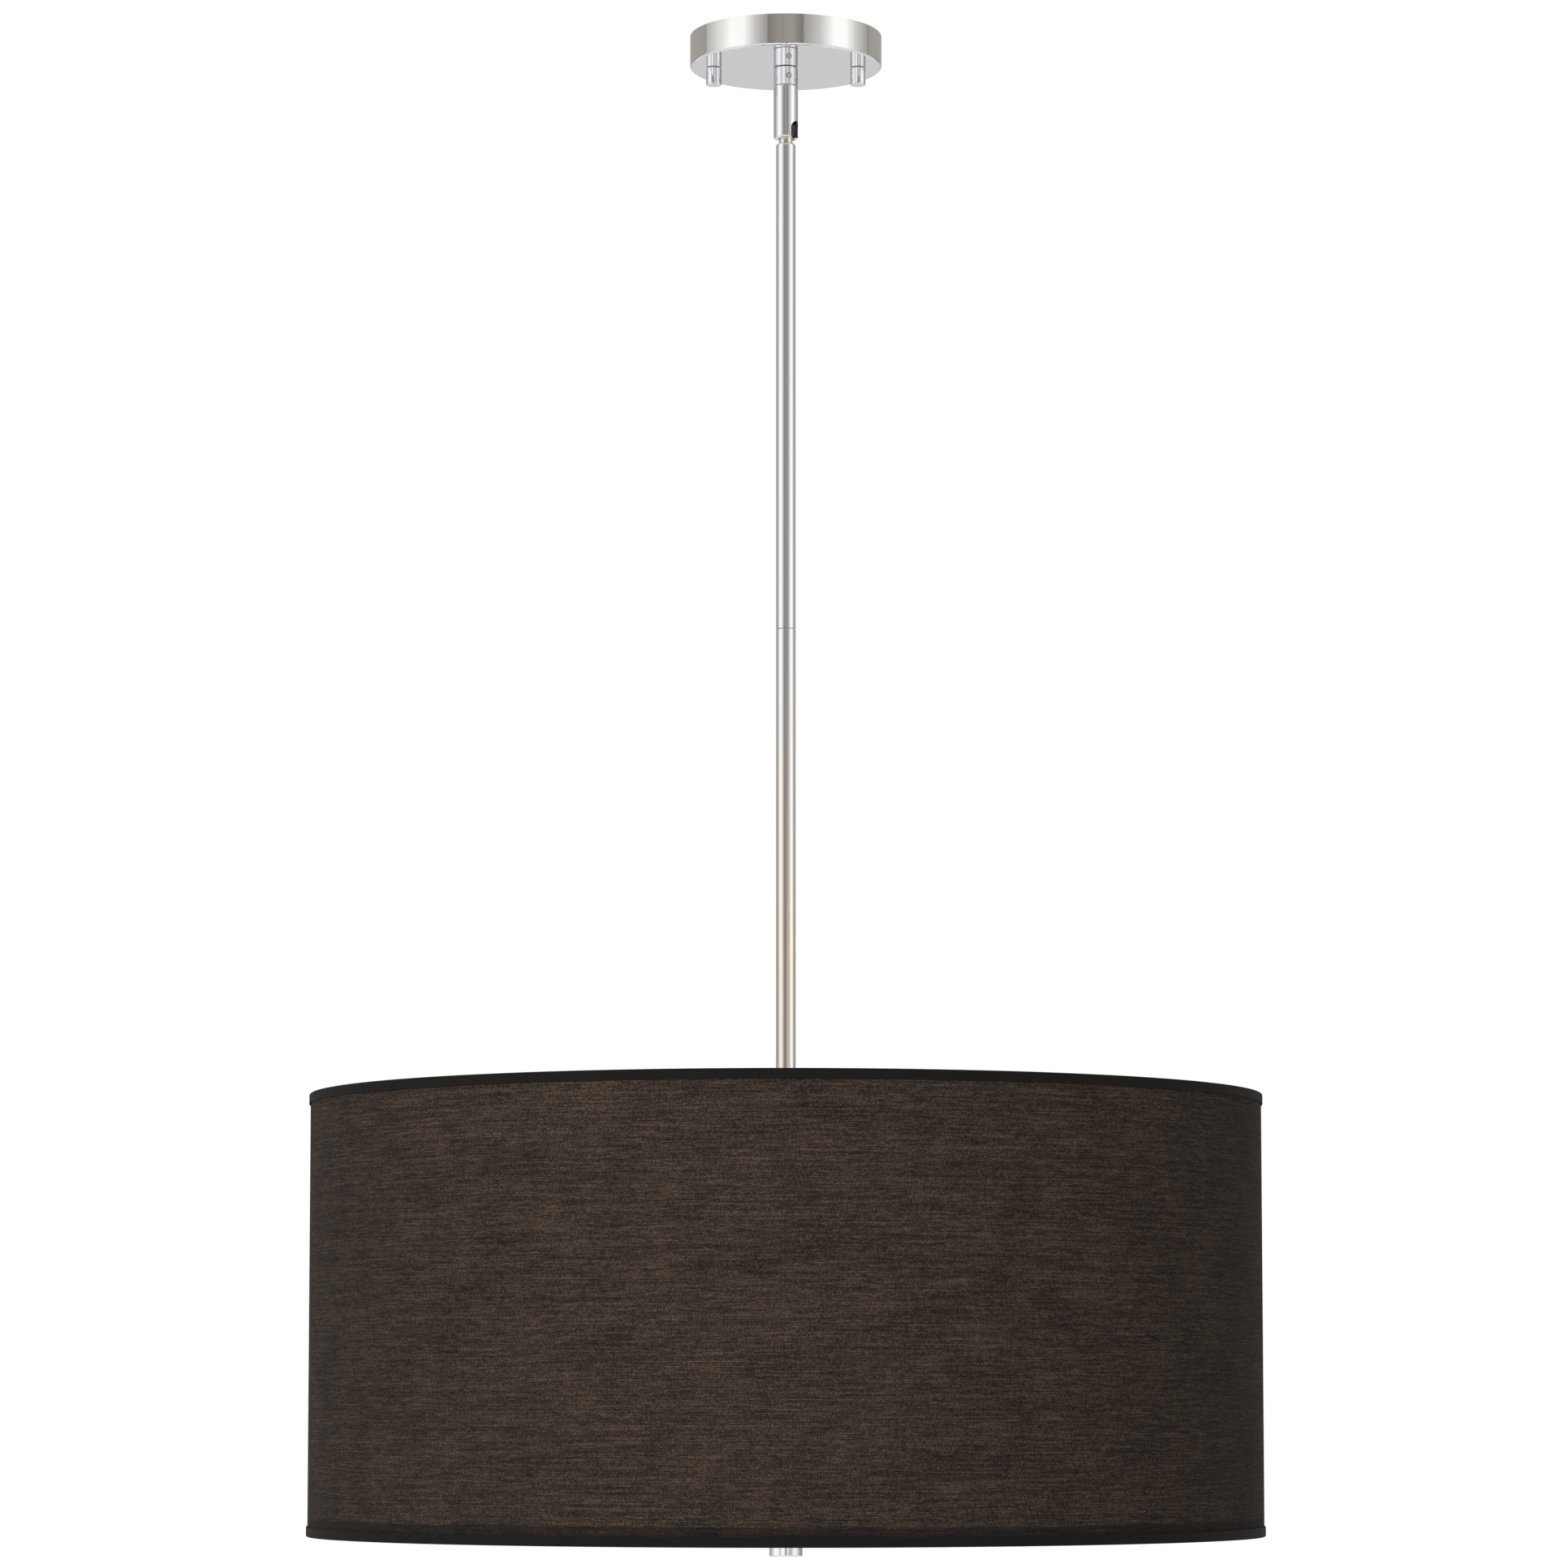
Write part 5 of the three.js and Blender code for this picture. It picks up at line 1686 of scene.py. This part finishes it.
def make_world():
    """Even light from all round, which is plain white where it is seen."""
    world = bpy.data.worlds.new("studio_air")
    bpy.context.scene.world = world
    world.use_nodes = True
    made = NodeCalls(world.node_tree)
    level = made.span(seen_directly(made), 0.0, 1.0, setting("studio").ambient)
    air = made.tree.nodes["Background"].inputs
    made.feed(air["Color"], WHITE)
    made.feed(air["Strength"], level)


def make_light(name, azimuth, power):
    """A round soft light, placed by its direction from the front towards the right."""
    studio = setting("studio")
    light = bpy.data.lights.new(name, "AREA")
    light.shape = "DISK"
    light.size = studio.light_size
    light.energy = power
    lamp = bpy.data.objects.new(name, light)
    place = Vector((math.sin(azimuth), -math.cos(azimuth), 0)) * studio.light_distance
    lamp.location = place
    aim = Vector((0, 0, -studio.light_aim)) - place
    lamp.rotation_euler = aim.to_track_quat("-Z", "Y").to_euler()
    lamp.visible_glossy = False
    lamp.visible_camera = False
    bpy.context.scene.collection.objects.link(lamp)


def make_camera():
    studio = setting("studio")
    lens = bpy.data.cameras.new("photo_camera")
    lens.sensor_width = FILM_WIDTH / MM
    lens.lens = studio.lens / MM
    lens.shift_y = studio.camera_shift
    camera = bpy.data.objects.new("photo_camera", lens)
    camera.location = (studio.camera_side, -studio.camera_distance, studio.camera_height)
    camera.rotation_euler = (math.pi / 2 + studio.camera_pitch, 0, 0)
    bpy.context.scene.collection.objects.link(camera)
    bpy.context.scene.camera = camera


def make_stage():
    studio = setting("studio")
    bpy.context.scene.view_settings.view_transform = "Standard"
    make_camera()
    make_world()
    make_floor()
    make_panels()
    make_light("front_soft_light", studio.front_azimuth, studio.front_power)
    make_light("left_soft_light", studio.side_azimuth, studio.side_power)
    make_light("back_soft_light", studio.back_azimuth, studio.back_power)


# Operators, one for each piece or group of like pieces

class StepOperator:
    """What all steps share."""

    bl_options = {"REGISTER"}


class CHANDELIER_OT_crossbar(StepOperator, bpy.types.Operator):
    """Makes the crossbar and its ground screw"""

    bl_idname = "chandelier.crossbar"
    bl_label = "Crossbar"

    def execute(self, context):
        make_crossbar()
        make_ground_screw()
        return {"FINISHED"}


class CHANDELIER_OT_studs(StepOperator, bpy.types.Operator):
    """Makes the two canopy studs, their nuts and the knobs"""

    bl_idname = "chandelier.studs"
    bl_label = "Studs and knobs"

    def execute(self, context):
        for side in SIDES:
            make_stud(side)
            make_knob(side)
        return {"FINISHED"}


class CHANDELIER_OT_canopy(StepOperator, bpy.types.Operator):
    """Makes the canopy, its washer and its locknut"""

    bl_idname = "chandelier.canopy"
    bl_label = "Canopy"

    def execute(self, context):
        make_canopy()
        return {"FINISHED"}


class CHANDELIER_OT_swivel(StepOperator, bpy.types.Operator):
    """Makes the swivel's nipple, collar, set screw and slotted housing"""

    bl_idname = "chandelier.swivel"
    bl_label = "Swivel"

    def execute(self, context):
        make_swivel_nipple()
        make_collar()
        make_housing()
        return {"FINISHED"}


class CHANDELIER_OT_ball_stud(StepOperator, bpy.types.Operator):
    """Makes the ball stud that the rods hang from"""

    bl_idname = "chandelier.ball_stud"
    bl_label = "Ball stud"

    def execute(self, context):
        make_ball_stud()
        return {"FINISHED"}


class CHANDELIER_OT_rods(StepOperator, bpy.types.Operator):
    """Makes the upper and lower rods"""

    bl_idname = "chandelier.rods"
    bl_label = "Rods"

    def execute(self, context):
        make_rods()
        return {"FINISHED"}


class CHANDELIER_OT_spider(StepOperator, bpy.types.Operator):
    """Makes the spider with its top ring, its washer and the bottom ring"""

    bl_idname = "chandelier.spider"
    bl_label = "Spider and rings"

    def execute(self, context):
        make_spider()
        return {"FINISHED"}


class CHANDELIER_OT_liner(StepOperator, bpy.types.Operator):
    """Makes the drum's styrene liner"""

    bl_idname = "chandelier.liner"
    bl_label = "Liner"

    def execute(self, context):
        make_liner()
        return {"FINISHED"}


class CHANDELIER_OT_cover(StepOperator, bpy.types.Operator):
    """Makes the drum's fabric and its two hems"""

    bl_idname = "chandelier.cover"
    bl_label = "Fabric and hems"

    def execute(self, context):
        make_shade_cover()
        return {"FINISHED"}


class CHANDELIER_OT_cluster(StepOperator, bpy.types.Operator):
    """Makes the lamp cluster's body and cover"""

    bl_idname = "chandelier.cluster"
    bl_label = "Lamp cluster"

    def execute(self, context):
        make_cluster()
        make_cluster_cover()
        return {"FINISHED"}


class CHANDELIER_OT_arms(StepOperator, bpy.types.Operator):
    """Makes the four socket arms"""

    bl_idname = "chandelier.arms"
    bl_label = "Socket arms"

    def execute(self, context):
        for number in LAMPS:
            make_arm(number)
        return {"FINISHED"}


class CHANDELIER_OT_sockets(StepOperator, bpy.types.Operator):
    """Makes the four lamp sockets"""

    bl_idname = "chandelier.sockets"
    bl_label = "Lamp sockets"

    def execute(self, context):
        for number in LAMPS:
            make_socket(number)
        return {"FINISHED"}


class CHANDELIER_OT_bulbs(StepOperator, bpy.types.Operator):
    """Makes the four bulbs with their screw bases"""

    bl_idname = "chandelier.bulbs"
    bl_label = "Bulbs"

    def execute(self, context):
        for number in LAMPS:
            make_bulb(number)
        return {"FINISHED"}


class CHANDELIER_OT_centre_rod(StepOperator, bpy.types.Operator):
    """Makes the centre rod with its nuts and washers"""

    bl_idname = "chandelier.centre_rod"
    bl_label = "Centre rod"

    def execute(self, context):
        make_centre_rod()
        return {"FINISHED"}


class CHANDELIER_OT_diffuser(StepOperator, bpy.types.Operator):
    """Makes the opal diffuser"""

    bl_idname = "chandelier.diffuser"
    bl_label = "Diffuser"

    def execute(self, context):
        make_diffuser()
        return {"FINISHED"}


class CHANDELIER_OT_finial(StepOperator, bpy.types.Operator):
    """Makes the finial"""

    bl_idname = "chandelier.finial"
    bl_label = "Finial"

    def execute(self, context):
        make_finial()
        return {"FINISHED"}


class CHANDELIER_OT_wiring(StepOperator, bpy.types.Operator):
    """Makes the canopy's leads and wire nuts"""

    bl_idname = "chandelier.wiring"
    bl_label = "Wiring"

    def execute(self, context):
        make_wiring()
        return {"FINISHED"}


class CHANDELIER_OT_stage(StepOperator, bpy.types.Operator):
    """Makes the floor, the lights, the background and the camera"""

    bl_idname = "chandelier.stage"
    bl_label = "Stage"

    def execute(self, context):
        make_stage()
        return {"FINISHED"}


OPERATORS = (
    CHANDELIER_OT_stage,
    CHANDELIER_OT_crossbar,
    CHANDELIER_OT_studs,
    CHANDELIER_OT_canopy,
    CHANDELIER_OT_swivel,
    CHANDELIER_OT_ball_stud,
    CHANDELIER_OT_rods,
    CHANDELIER_OT_spider,
    CHANDELIER_OT_liner,
    CHANDELIER_OT_cover,
    CHANDELIER_OT_cluster,
    CHANDELIER_OT_arms,
    CHANDELIER_OT_sockets,
    CHANDELIER_OT_bulbs,
    CHANDELIER_OT_centre_rod,
    CHANDELIER_OT_diffuser,
    CHANDELIER_OT_finial,
    CHANDELIER_OT_wiring,
)


class CHANDELIER_PT_steps(bpy.types.Panel):
    """Lists the steps that make the lamp"""

    bl_idname = "CHANDELIER_PT_steps"
    bl_label = "Drum chandelier"
    bl_space_type = "VIEW_3D"
    bl_region_type = "UI"
    bl_category = "Chandelier"

    def draw(self, context):
        for operator in OPERATORS:
            self.layout.operator(operator.bl_idname)


def register():
    for name, group in SETTINGS.items():
        bpy.utils.register_class(group)
        setattr(bpy.types.Scene, "chandelier_" + name, bpy.props.PointerProperty(type=group))
    for operator in OPERATORS:
        bpy.utils.register_class(operator)
    bpy.utils.register_class(CHANDELIER_PT_steps)


def unregister():
    bpy.utils.unregister_class(CHANDELIER_PT_steps)
    for operator in reversed(OPERATORS):
        bpy.utils.unregister_class(operator)
    for name, group in SETTINGS.items():
        delattr(bpy.types.Scene, "chandelier_" + name)
        bpy.utils.unregister_class(group)


def main():
    register()
    for operator in OPERATORS:
        group, name = operator.bl_idname.split(".")
        getattr(getattr(bpy.ops, group), name)()


if __name__ == "__main__":
    main()
